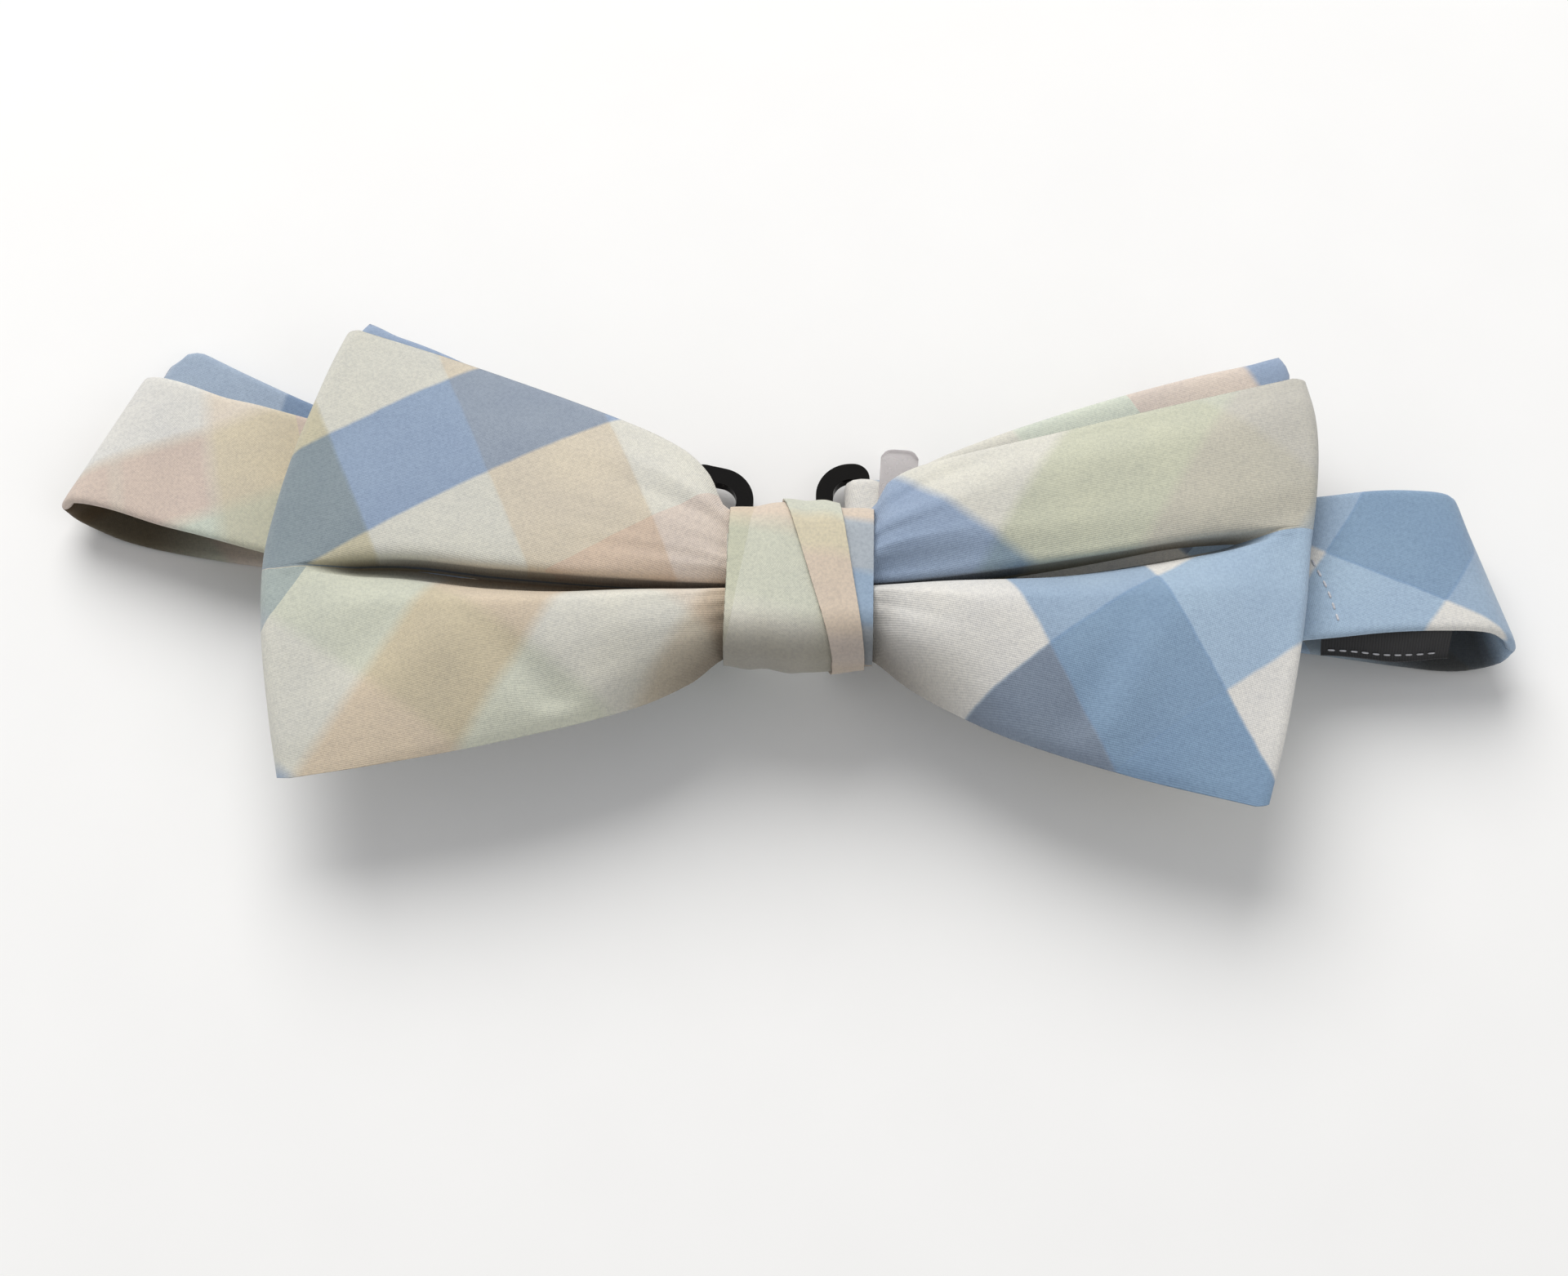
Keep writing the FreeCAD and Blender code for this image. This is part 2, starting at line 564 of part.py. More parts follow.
def hook():
    """The hook's frame with a narrow tongue that passes under the ring's free bar and turns up behind it."""
    shape = frame(HOOK_LENGTH, HOOK_CORNER)
    shape.rotate(V(0, 0, 0), UP, 180)
    shape.translate(V(HOOK_BAR_X, HOOK_BAR_Y, BAR_Z))
    y = (HOOK_BAR_Y - TONGUE_WIDTH / 2, HOOK_BAR_Y + TONGUE_WIDTH / 2)
    free_x = HOOK_BAR_X + BAR_INSET - HOOK_LENGTH
    root = box((free_x, free_x + RIM), y, (TONGUE_Z[0], BAR_Z))
    arm = box((CATCH_X[0], free_x + BAR_EMBED), y, TONGUE_Z)
    catch = box(CATCH_X, y, (TONGUE_Z[0], BAR_Z + FRAME_THICKNESS / 2 - BAR_EMBED / 2))
    return shape.fuse([root, arm, catch]).removeSplitter()


def slider(side):
    """Bridge slider: outer bars under the strap, a centre bar over it, and two end walls beside it."""
    x0, x1 = SLIDER_X
    mid = (x0 + x1) / 2
    inner = STRAP_WIDTH / 2 + SLIDER_CLEARANCE
    outer, reach = inner + SLIDER_WALL, inner + BAR_EMBED
    bar_z = low_return_z() + STRAP * 1.5 + LAYER_GAP + SLIDER_BAR_CLEARANCE + SLIDER_BAR_RADIUS
    z = (0, bar_z + SLIDER_BAR_RADIUS)
    walls = [box((x0, x1), y, z) for y in ((-outer, -inner), (inner, outer))]
    width, height = SLIDER_UNDER
    under = [box((x, x + width), (-reach, reach), (0, height)) for x in (x0, x1 - width)]
    bar = cross_bar(mid, 0, bar_z, SLIDER_BAR_RADIUS, reach)
    return place_on_return(side, walls[0].fuse([walls[1], *under, bar]).removeSplitter(), mid), bar_z


def low_return_z():
    """Middle height of the raised, level stretch of each return run."""
    return BAR_Z - WRAP_RADIUS


def place_on_return(side, shape, x):
    """Turns and shifts a shape built at y 0 so that it sits square on the return run at that x."""
    lane = side.back
    y = lane.at(lane.u_of_x(x), 0).y
    heading = math.degrees(math.atan2(lane.along.y, lane.along.x))
    shape.rotate(V(x, 0, 0), UP, heading)
    shape.translate(V(0, y, 0))
    return shape


def tail_ply(side):
    """The doubled stretch of strap between its turn at the hook and the slider."""
    laid = low_return_z() + STRAP + LAYER_GAP
    u0 = side.square.u_of_x(HOOK_BAR_X) + RIGHT_LOOP_PLY + 3 * HINGE_GAP
    u1 = side.square.u_of_x(SLIDER_X[0]) - HINGE_GAP
    return band(side.square, [(u0, laid), (u1, laid)], [])


def slider_loop(side, bar_z):
    """The strap's end, turned round the slider's centre bar and sewn down."""
    mid_u = side.square.u_of_x(sum(SLIDER_X) / 2)
    laid = low_return_z() + STRAP + LAYER_GAP
    radius = bar_z - laid
    start_u = side.square.u_of_x(SLIDER_X[0])
    path = [(start_u, laid), (mid_u + radius, laid), (mid_u + radius, bar_z + radius)]
    path.append((mid_u - SLIDER_TAIL, bar_z + radius))
    return band(side.square, path, [radius, radius])


def keeper(side):
    """Clear moulded loop that holds the doubled strap flat beside the hook."""
    mid = sum(KEEPER_X) / 2
    z = (0.0, BAR_Z + WRAP_RADIUS + STRAP / 2 + KEEPER_CLEARANCE + KEEPER_WALL)
    loop = rounded_tube(KEEPER_X, KEEPER_Y, z, KEEPER_WALL, KEEPER_CORNER)
    return place_on_return(side, loop, mid)


def front_height(side, u):
    """Middle height of the right front run, which rises evenly between its two bends."""
    share = (u - RISE_START) / (side.fold_u - RISE_END - RISE_START)
    return FRONT_Z + (side.top_z - FRONT_Z) * min(max(share, 0), 1)


def label(side):
    """Plain woven label sewn inside the right front run, its lower edge hanging just below the strap."""
    drop = STRAP / 2 + LABEL_THICKNESS / 2 + LAYER_GAP
    path = [(u, front_height(side, u) - drop) for u in map(side.front.u_of_x, LABEL_X)]
    shift = (LABEL_WIDTH - STRAP_WIDTH) / 2 - LABEL_DROP
    return band(side.front, path, [], LABEL_THICKNESS, LABEL_WIDTH, shift=shift)


def label_stitches(side):
    """Thread dashes on the face of the strap along the label's inner end."""
    dashes = []
    for i in range(STITCHES):
        u = side.front.u_of_x(LABEL_X[0] + STITCH_STEP[0] * i)
        z = front_height(side, u) + STRAP / 2 + LAYER_GAP
        dash = box((-THREAD / 2, THREAD / 2), (-STITCH_LENGTH / 2, STITCH_LENGTH / 2), (0, THREAD / 2))
        dash.rotate(V(0, 0, 0), UP, math.degrees(math.atan2(-STITCH_STEP[0], STITCH_STEP[1])))
        place = side.front.at(u, z)
        dash.translate(place + V(0, STITCH_TOP - STITCH_STEP[1] * i, 0))
        dashes.append(dash)
    return Part.makeCompound(dashes)


def bar_tack(side):
    """Thread bars through both plies of the strap where its end is sewn down behind the ring."""
    laid = low_return_z() + STRAP * 1.5 + LAYER_GAP
    bars = []
    lane = side.back
    u = lane.u_of_x(RING_BAR_X) + TACK_FROM_BAR
    for i in range(TACKS):
        centre = lane.at(u, laid) + lane.sweep * (TACK_STEP * (i - TACKS // 2))
        bar = box((-TACK_LENGTH / 2, TACK_LENGTH / 2), (-THREAD / 2, THREAD / 2), (0, THREAD / 2))
        bar.rotate(V(0, 0, 0), UP, math.degrees(math.atan2(lane.along.y, lane.along.x)))
        bar.translate(centre)
        bars.append(bar)
    return Part.makeCompound(bars)


# ---- the whole tie -------------------------------------------------------------------------------
def build():
    """Every node of the tie by name, about the knot's centre, and the points that its joints turn on."""
    left, right = Side(True), Side(False)
    slider_shape, slider_bar_z = slider(right)
    nodes = {
        "knot_wrap": knot_wrap(),
        "knot_pleat": knot_pleat(),
        "knot_padding": knot_padding(),
        "loop_waist": loop_waist(),
        "tail_waist": tail_waist(),
        "waist_thread": waist_thread(),
        "strap_anchor_stitches": anchor_stitches(),
        "ring": ring(left),
        "hook": hook(),
        "slider": slider_shape,
        "slider_strap_end": slider_loop(right, slider_bar_z),
        "strap_keeper": keeper(right),
        "right_strap_doubled": tail_ply(right),
        "label": label(right),
        "label_stitches": label_stitches(right),
        "left_strap_spare_end": spare_end(left),
        "left_bar_tack": bar_tack(left),
    }
    for name, side in (("left", left), ("right", right)):
        nodes[f"{name}_strap_front"] = front_run(side)
        nodes[f"{name}_strap_fold"] = fold_band(side)
        nodes[f"{name}_strap_return"] = return_run(side)
    for name, wing in (("left", LEFT_WING), ("right", RIGHT_WING)):
        nodes[f"{name}_loop"] = loop_halves(wing, 0.0, LOOP_PLY)
        nodes[f"{name}_loop_interlining"] = loop_halves(wing, LOOP_PLY + LAYER_GAP, LINING_PLY)
        nodes.update({f"{name}_{layer}": shape for layer, shape in tail_layers(wing).items()})
    points = {"ring_bar": V(RING_BAR_X, RING_BAR_Y, BAR_Z), "hook_bar": V(HOOK_BAR_X, HOOK_BAR_Y, BAR_Z)}
    for name, side in (("left", left), ("right", right)):
        points[f"{name}_fold_outer"] = side.hinge(45)
        points[f"{name}_fold_inner"] = side.hinge(135)
        points[f"{name}_sweep"] = side.sweep
        points[f"{name}_along"] = side.back.along
    return nodes, points


def main():
    nodes, points = build()
    whole = Part.makeCompound(list(nodes.values())).optimalBoundingBox(True, False)
    shift = V(-whole.Center.x, -whole.Center.y, -whole.ZMin)
    os.makedirs("parts", exist_ok=True)
    for name, shape in nodes.items():
        shape.translate(shift)
        solids = shape.Solids
        shape = solids[0] if len(solids) == 1 else Part.makeCompound(solids)
        shape.exportStep(os.path.join("parts", name + ".step"))
        print(f"{name}: {len(solids)} solids, {shape.Volume:.1f} mm3, valid {shape.isValid()}")
    print(f"size {whole.XLength:.2f} x {whole.YLength:.2f} x {whole.ZLength:.2f}")
    print(f"shift {shift.x:.4f} {shift.y:.4f} {shift.z:.4f}")
    for name, p in points.items():
        moved = p if name.endswith(("sweep", "along")) else p + shift
        print(f"point {name} {moved.x:.5f} {moved.y:.5f} {moved.z:.5f}")


main()
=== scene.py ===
"""Looks of the pre-tied bow tie: cloth, thread, label, black hardware and clear keeper round the frame.

Lengths are millimetres about the knot's centre on the resting plane: x along the bow, y towards its
upper edge, z out of its face. at() turns them into the frame's metres. The sheets' flat sizes, the floor
and the lamps are in metres.
"""

import math

import bmesh
import bpy
from mathutils import Matrix, Vector, noise


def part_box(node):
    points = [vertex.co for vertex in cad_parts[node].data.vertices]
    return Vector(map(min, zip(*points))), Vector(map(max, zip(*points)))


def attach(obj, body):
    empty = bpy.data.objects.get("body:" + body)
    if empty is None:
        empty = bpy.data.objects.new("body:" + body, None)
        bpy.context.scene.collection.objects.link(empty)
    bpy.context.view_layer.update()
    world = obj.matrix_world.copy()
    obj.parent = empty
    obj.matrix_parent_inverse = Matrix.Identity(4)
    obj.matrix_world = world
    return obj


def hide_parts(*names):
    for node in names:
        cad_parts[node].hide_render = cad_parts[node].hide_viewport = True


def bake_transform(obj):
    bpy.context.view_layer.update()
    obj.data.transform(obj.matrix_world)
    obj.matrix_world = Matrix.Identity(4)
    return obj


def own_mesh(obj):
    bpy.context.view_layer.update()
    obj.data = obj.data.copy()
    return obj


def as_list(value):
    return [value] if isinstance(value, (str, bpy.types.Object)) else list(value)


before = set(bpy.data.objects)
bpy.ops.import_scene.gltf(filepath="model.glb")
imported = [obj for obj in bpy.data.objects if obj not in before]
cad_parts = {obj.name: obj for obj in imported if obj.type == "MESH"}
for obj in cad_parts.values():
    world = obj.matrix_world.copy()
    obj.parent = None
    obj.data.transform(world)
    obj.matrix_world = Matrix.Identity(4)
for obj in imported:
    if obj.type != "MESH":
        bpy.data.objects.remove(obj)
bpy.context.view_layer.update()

MM = 0.001
UP = Vector((0, 0, 1))
KNOT_X, KNOT_HALF_Y, KNOT_Z = (-9.3, 8.6), 9.75, (9.7, 20.9)
STRAP_WIDTH, STRAP = 18.5, 1.2
PITCH = 14.3  # width of one stripe of the plaid

_low, _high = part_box("knot_wrap")
ORIGIN = Vector(((_low[0] + _high[0]) / 2 - sum(KNOT_X) / 2 * MM, (_low[1] + _high[1]) / 2, 0))


def at(x, y, z):
    """A place given in millimetres about the knot's centre, in the frame's metres."""
    return ORIGIN + Vector((x, y, z)) * MM


# ---- curves and grids ----
def smooth(a, b, x):
    """0 up to a, 1 from b on, and an even S between."""
    t = min(max((x - a) / (b - a), 0.0), 1.0)
    return t * t * (3 - 2 * t)


def mix(a, b, t):
    """The value a share t of the way from a to b."""
    return a + (b - a) * t


def steady_slope(before, after, slope):
    """The slope at a knot, held back so that the curve doesn't overshoot between its neighbours."""
    if before * after <= 0:
        return 0.0
    return math.copysign(min(abs(slope), 3 * abs(before), 3 * abs(after)), slope)


class Spline:
    """Smooth curve through (parameter, value) knots, whose values are numbers or vectors.

    A steady curve, which has to run through vectors, doesn't overshoot its knots.
    """

    def __init__(self, knots, steady=False):
        self.t = [k[0] for k in knots]
        self.p = [k[1] for k in knots]
        n = len(knots)
        self.m = []
        for i in range(n):
            a, b = max(i - 1, 0), min(i + 1, n - 1)
            slope = (self.p[b] - self.p[a]) * (1 / (self.t[b] - self.t[a]))
            if steady and a < i < b:
                before = (self.p[i] - self.p[a]) / (self.t[i] - self.t[a])
                after = (self.p[b] - self.p[i]) / (self.t[b] - self.t[i])
                slope = Vector([steady_slope(*parts) for parts in zip(before, after, slope)])
            self.m.append(slope)

    def __call__(self, t):
        t = min(max(t, self.t[0]), self.t[-1])
        i = 0
        while i < len(self.t) - 2 and t > self.t[i + 1]:
            i += 1
        h = self.t[i + 1] - self.t[i]
        s = (t - self.t[i]) / h
        a, b = 2 * s ** 3 - 3 * s * s + 1, s ** 3 - 2 * s * s + s
        c, d = 1 - a, s ** 3 - s * s
        return self.p[i] * a + self.m[i] * (b * h) + self.p[i + 1] * c + self.m[i + 1] * (d * h)


def chord_spline(points):
    """Spline through vectors, its parameter running from 0 to 1 with the distance along them."""
    lengths = [0.0]
    for a, b in zip(points, points[1:]):
        lengths.append(lengths[-1] + (b - a).length)
    return Spline([(s / lengths[-1], p) for s, p in zip(lengths, points)])


def steps(count, edge=(0.0, 0.002, 0.006, 0.013, 0.024)):
    """Parameters from 0 to 1, evenly spaced but closer together near both ends."""
    inner = [mix(edge[-1], 1 - edge[-1], i / count) for i in range(count + 1)]
    return list(edge[:-1]) + inner + [1 - e for e in reversed(edge[:-1])]


def round_off(distance, radius):
    """Share of the full thickness at that distance from a rounded edge."""
    d = min(max(distance / radius, 0.0), 1.0)
    return math.sqrt(1 - (1 - d) ** 2)


def wobble(x, y, scale, seed):
    """Smooth repeatable noise, about -1 to 1."""
    return noise.noise(Vector((x / scale, y / scale, seed * 7.31)))


def dent(x, y, centre, angle, long, wide, height):
    """Height at (x, y) of one oval puff, or hollow where height is negative, long along that angle."""
    a = math.radians(angle)
    dx, dy = x - centre[0], y - centre[1]
    u = (dx * math.cos(a) + dy * math.sin(a)) / long
    v = (-dx * math.sin(a) + dy * math.cos(a)) / wide
    return height * math.exp(-u * u - v * v)


MERGE_DISTANCE = 2e-6  # metres


def place_object(name, data):
    obj = bpy.data.objects.new(name, data)
    bpy.context.scene.collection.objects.link(obj)
    return obj


def build(name, points, faces, uvs, face_slots, materials, shades):
    """Mesh object from points in millimetres, with one UV and one shade per point."""
    mesh = bpy.data.meshes.new(name)
    mesh.from_pydata([at(*p) for p in points], [], faces)
    layer = mesh.uv_layers.new(name="cloth")
    for loop in mesh.loops:
        layer.data[loop.index].uv = uvs[loop.vertex_index]
    shade = mesh.attributes.new("shade", "FLOAT", "POINT")
    for i in range(len(points)):
        shade.data[i].value = shades[i]
    for material in materials:
        mesh.materials.append(material)
    for polygon, index in zip(mesh.polygons, face_slots):
        polygon.material_index = index
        polygon.use_smooth = True
    obj = place_object(name, mesh)
    work = bmesh.new()
    work.from_mesh(mesh)
    bmesh.ops.remove_doubles(work, verts=work.verts, dist=MERGE_DISTANCE)
    bmesh.ops.recalc_face_normals(work, faces=work.faces)
    work.to_mesh(mesh)
    work.free()
    return obj


def first_slot(u, v):
    return 0


def unshaded(u, v, layer):
    return 0.0


def normal(surface, u, v, step=1e-4):
    """Unit normal of surface(u, v), or None where it has no slope."""
    u0, u1, v0, v1 = max(u - step, 0), min(u + step, 1), max(v - step, 0), min(v + step, 1)
    n = (surface(u1, v) - surface(u0, v)).cross(surface(u, v1) - surface(u, v0))
    return n.normalized() if n.length > 1e-12 else None


def thick_sheet(name, surface, us, vs, depth, uv, materials, slot_of=first_slot, shade=unshaded,
                both=False, flip=1):
    """Cloth of real thickness over surface(u, v).

    depth(u, v) is its thickness there, laid inwards from the surface, or half to each side if both is
    true. flip is -1 where the surface's own normal points inwards.
    """
    rows = []
    for u in us:
        row = []
        for v in vs:
            p, n, t = surface(u, v), normal(surface, u, v), depth(u, v)
            n = UP if n is None else n * flip
            row.append((p + n * t / 2, p - n * t / 2) if both else (p, p - n * t))
        rows.append(row)
    width = len(vs)
    points, uvs, shades = [], [], []
    for layer in (0, 1):
        for u, row in zip(us, rows):
            for v, pair in zip(vs, row):
                points.append(pair[layer])
                uvs.append(uv(u, v))
                shades.append(shade(u, v, layer))
    half = len(us) * width
    faces, slots = [], []
    for i in range(len(us) - 1):
        for j in range(width - 1):
            a = i * width + j
            quad = (a, a + 1, a + width + 1, a + width)
            faces.append(quad)
            faces.append(tuple(reversed([k + half for k in quad])))
            slots += [slot_of((us[i] + us[i + 1]) / 2, (vs[j] + vs[j + 1]) / 2)] * 2
    for i in range(len(us) - 1):
        for j in (0, width - 1):
            a = i * width + j
            faces.append((a, a + width, a + width + half, a + half))
            slots.append(slot_of(us[i], vs[j]))
    for i in (0, len(us) - 1):
        for j in range(width - 1):
            a = i * width + j
            faces.append((a, a + 1, a + 1 + half, a + half))
            slots.append(slot_of(us[i], vs[j]))
    return build(name, points, faces, uvs, slots, materials, shades)


# ---- materials ----
def linear(colour):
    """A colour given as 0 to 255 screen values, as linear light."""
    values = [c / 255 for c in colour]
    return tuple(c / 12.92 if c <= 0.04045 else ((c + 0.055) / 1.055) ** 2.4 for c in values) + (1.0,)


PRINTED, UNPRINTED = (255, 255, 255), (0, 0, 0)

# dyes of the plaid, save the two colours after DENIM: a darker azure cell, and a sky cell darkened with
# painted shade
WHITE = (245, 244, 242)
ASH = (238, 238, 236)
WARM_ASH = (222, 219, 212)
CREAM = (236, 235, 227)
WARM = (238, 228, 216)
MOSS = (222, 216, 196)
BLUE = (164, 184, 214)
SKY = (181, 206, 233)
AZURE = (171, 195, 223)
SPARE_BLUE = (178, 196, 220)
DENIM = (142, 169, 198)
DARKER_AZURE = (141, 169, 199)
SKY_IN_PAINTED_SHADE = (138, 151, 170)
STEEL = (194, 204, 216)
SAGE = (226, 229, 215)
MINT = (228, 236, 224)
PEACH = (238, 222, 206)
PINK = (236, 223, 214)
BLUSH = (217, 200, 189)
YELLOW = (238, 229, 204)
STRAW = (236, 234, 220)


class Nodes:
    """Small helper for building a material's node tree."""

    def __init__(self, name):
        self.material = bpy.data.materials.new(name)
        self.material.use_nodes = True
        self.tree = self.material.node_tree
        self.shader = self.tree.nodes["Principled BSDF"]
        self.place = self.add("ShaderNodeTexCoord").outputs["Object"]

    def add(self, kind, inputs=None, **settings):
        node = self.tree.nodes.new(kind)
        for key, value in settings.items():
            setattr(node, key, value)
        for key, value in (inputs or {}).items():
            self.feed(node.inputs[key], value)
        return node

    def feed(self, socket, value):
        if isinstance(value, bpy.types.NodeSocket):
            self.tree.links.new(value, socket)
        else:
            socket.default_value = value

    def set(self, name, value):
        self.feed(self.shader.inputs[name], value)

    def math(self, operation, a, b=0.0):
        return self.add("ShaderNodeMath", {0: a, 1: b}, operation=operation).outputs[0]

    def vector(self, operation, inputs):
        return self.add("ShaderNodeVectorMath", inputs, operation=operation).outputs[0]

    def blend(self, mode, factor, a, b):
        node = self.add("ShaderNodeMix", data_type="RGBA", blend_type=mode)
        for key, value in ((0, factor), (6, a), (7, b)):
            self.feed(node.inputs[key], value)
        return node.outputs[2]

    def ramp(self, factor, stops):
        node = self.add("ShaderNodeValToRGB", {0: factor})
        elements = node.color_ramp.elements
        while len(elements) < len(stops):
            elements.new(0.5)
        for element, (place, colour) in zip(elements, stops):
            element.position = place
            element.color = colour
        return node.outputs[0]

    def roughness(self, factor, low, high, stops=(0.0, 1.0)):
        grey = [(place, (value, value, value, 1)) for place, value in zip(stops, (low, high))]
        self.set("Roughness", self.ramp(factor, grey))

    def tint(self, factor, *stops):
        """A ramp of (place, screen colour) stops."""
        return self.ramp(factor, [(place, linear(colour)) for place, colour in stops])

    def bump(self, height, strength, distance):
        node = self.add("ShaderNodeBump", {"Height": height, "Strength": strength, "Distance": distance})
        self.set("Normal", node.outputs[0])

    def noise(self, scale, detail=2.0, roughness=0.5):
        inputs = {"Vector": self.place, "Scale": scale, "Detail": detail, "Roughness": roughness}
        return self.add("ShaderNodeTexNoise", inputs).outputs


def stripes(nodes, coordinate, colours, soft):
    """Colour of the stripe that the coordinate falls in; one stripe per unit, repeating after the last."""
    count = len(colours)
    place = nodes.math("FRACT", nodes.math("DIVIDE", coordinate, float(count)))
    stops = []
    for i, colour in enumerate(colours):
        stops += [((i + soft) / count, colour), ((i + 1 - soft) / count, colour)]
    return nodes.tint(place, *stops)


THREADS_PER_MM = 3.6


def plaid(name, rows, columns, soft=0.025, cells=None):
    """Plain-weave cotton printed with a watercolour plaid: row colours crossed by column colours.

    The cloth UV counts stripes: u across the rows, v across the columns. soft is the share of a stripe over
    which two dyes run together. cells gives the (row, column) crossings that have a colour of their own.
    """
    n = Nodes(name)
    cloth = n.add("ShaderNodeUVMap", uv_map="cloth").outputs[0]
    # the edges of the print waver a little
    drift = n.vector("SUBTRACT", {0: n.noise(260.0)["Color"], 1: (0.5, 0.5, 0.5)})
    drift = n.vector("SCALE", {0: drift, "Scale": 0.025})
    axes = n.add("ShaderNodeSeparateXYZ", {0: n.vector("ADD", {0: cloth, 1: drift})}).outputs
    colour = n.blend("MULTIPLY", 1.0, stripes(n, axes[0], rows, soft), stripes(n, axes[1], columns, soft))
    for crossing, own in (cells or {}).items():
        in_row, in_column = (
            stripes(n, axis, [PRINTED if i == chosen else UNPRINTED for i in range(len(dyes))], soft)
            for axis, dyes, chosen in zip(axes, (rows, columns), crossing)
        )
        colour = n.blend("MIX", n.math("MULTIPLY", in_row, in_column), colour, linear(own))
    # uneven washes of dye, then the fine speckle of the yarns
    wash = n.noise(95.0, 3.0, 0.6)["Fac"]
    wash = n.tint(wash, (0.3, (243, 243, 244)), (0.7, (255, 254, 251)))
    colour = n.blend("MULTIPLY", 1.0, colour, wash)
    yarn = n.noise(2600.0, 2.0, 0.7)["Fac"]
    yarn = n.tint(yarn, (0.3, (234, 235, 237)), (0.62, (255, 255, 254)))
    colour = n.blend("MULTIPLY", 0.9, colour, yarn)
    # painted shade: the shade attribute darkens the cloth towards brown in the folds, inside the loops and
    # under the wings and knot
    painted_shade = n.add("ShaderNodeAttribute", attribute_name="shade").outputs["Fac"]
    colour = n.blend("MULTIPLY", painted_shade, colour, linear((92, 78, 60)))
    n.set("Base Color", colour)
    # over-and-under threads of the weave, with slubs
    counted = n.vector("SCALE", {0: cloth, "Scale": PITCH * THREADS_PER_MM * math.tau})
    threads = n.add("ShaderNodeSeparateXYZ", {0: counted}).outputs
    weave = n.math("MULTIPLY", n.math("SINE", threads[0]), n.math("SINE", threads[1]))
    slubs = n.noise(900.0, 3.0, 0.65)["Fac"]
    height = n.math("ADD", n.math("MULTIPLY", weave, 0.35), n.math("MULTIPLY", slubs, 1.3))
    n.bump(height, 0.35, 0.00022)
    n.roughness(slubs, 0.86, 0.96, (0.3, 0.7))
    n.set("Sheen Weight", 0.25)
    n.set("Sheen Roughness", 0.5)
    n.set("Specular IOR Level", 0.25)
    return n.material


def plain_cloth(name, colour, scale, strength):
    """Undyed or single-coloured cloth, felt or thread, mottled and rough."""
    n = Nodes(name)
    fibres = n.noise(scale, 4.0, 0.7)["Fac"]
    dark = tuple(c * 0.82 for c in colour)
    n.set("Base Color", n.tint(fibres, (0.3, dark), (0.7, colour)))
    n.bump(fibres, strength, 0.0002)
    n.roughness(fibres, 0.75, 0.95)
    return n.material


def coated_metal():
    """Black coat on cast metal, slightly uneven."""
    n = Nodes("black_coat")
    flow = n.noise(420.0, 3.0)["Fac"]
    n.set("Base Color", n.tint(flow, (0.3, (5, 4, 4)), (0.8, (15, 13, 12))))
    n.roughness(flow, 0.1, 0.2, (0.3, 0.8))
    n.bump(flow, 0.15, 0.0002)
    n.set("Specular IOR Level", 0.03)
    return n.material


def clear_plastic():
    """Clear moulded plastic, faintly cloudy."""
    n = Nodes("clear_plastic_look")
    cloud = n.noise(500.0, 2.0)["Fac"]
    n.set("Base Color", n.tint(cloud, (0.3, (196, 190, 192)), (0.8, (216, 211, 212))))
    n.roughness(cloud, 0.2, 0.34, (0.3, 0.8))
    n.set("Transmission Weight", 0.45)
    n.set("IOR", 1.46)
    return n.material


def label_cloth():
    """Black woven tape with a faint rib."""
    n = Nodes("label_tape")
    rib = n.add("ShaderNodeTexWave", {"Vector": n.place, "Scale": 900.0, "Distortion": 1.5}).outputs["Fac"]
    n.set("Base Color", n.tint(rib, (0.2, (17, 17, 19)), (0.9, (34, 34, 37))))
    n.bump(rib, 0.4, 0.0001)
    n.roughness(rib, 0.5, 0.7)
    return n.material


def floor_surface():
    """Matt white paper."""
    n = Nodes("floor_paper")
    grain = n.noise(60.0, 3.0)["Fac"]
    n.set("Base Color", n.ramp(grain, [(0.2, (0.92, 0.92, 0.92, 1)), (0.8, (0.94, 0.94, 0.94, 1))]))
    n.set("Roughness", 0.9)
    return n.material


BLACK_COAT = coated_metal()
THREAD = plain_cloth("thread_look", (226, 226, 232), 3000.0, 0.5)
LINING = plain_cloth("lining_look", (226, 223, 214), 900.0, 0.6)
LABEL = label_cloth()
PLASTIC = clear_plastic()


class Lay:
    """How the plaid lies on a piece: the headings of its rows and columns, one corner of it, and its pitch.

    phase is the row and column that begin at that corner. wide is the columns' width over the rows'.
    """

    def __init__(self, rows, columns, corner, phase=(0.0, 0.0), pitch=PITCH, wide=1.0):
        self.rows, self.columns = math.radians(rows), math.radians(columns)
        self.corner, self.phase, self.pitch, self.wide = corner, phase, pitch, wide

    def __call__(self, x, y):
        """Stripe counts at (x, y): upwards across the rows, and to the right across the columns."""
        dx, dy = x - self.corner[0], y - self.corner[1]
        row = (-dx * math.sin(self.rows) + dy * math.cos(self.rows)) / self.pitch
        column = (dx * math.sin(self.columns) - dy * math.cos(self.columns)) / (self.pitch * self.wide)
        return row + self.phase[0], column + self.phase[1]


# ---- front wings ----
LOOP_PLY = 0.9
FOLD_START, FOLD_END = 0.47, 0.53  # stretch of s that turns round the outer fold
FOLD_REACH = 1.7
CREASE_V = 0.515
BACK_INSET = 2.2
FRONT_STEPS, FOLD_STEPS, BACK_STEPS, ACROSS_STEPS = 90, 12, 50, 96


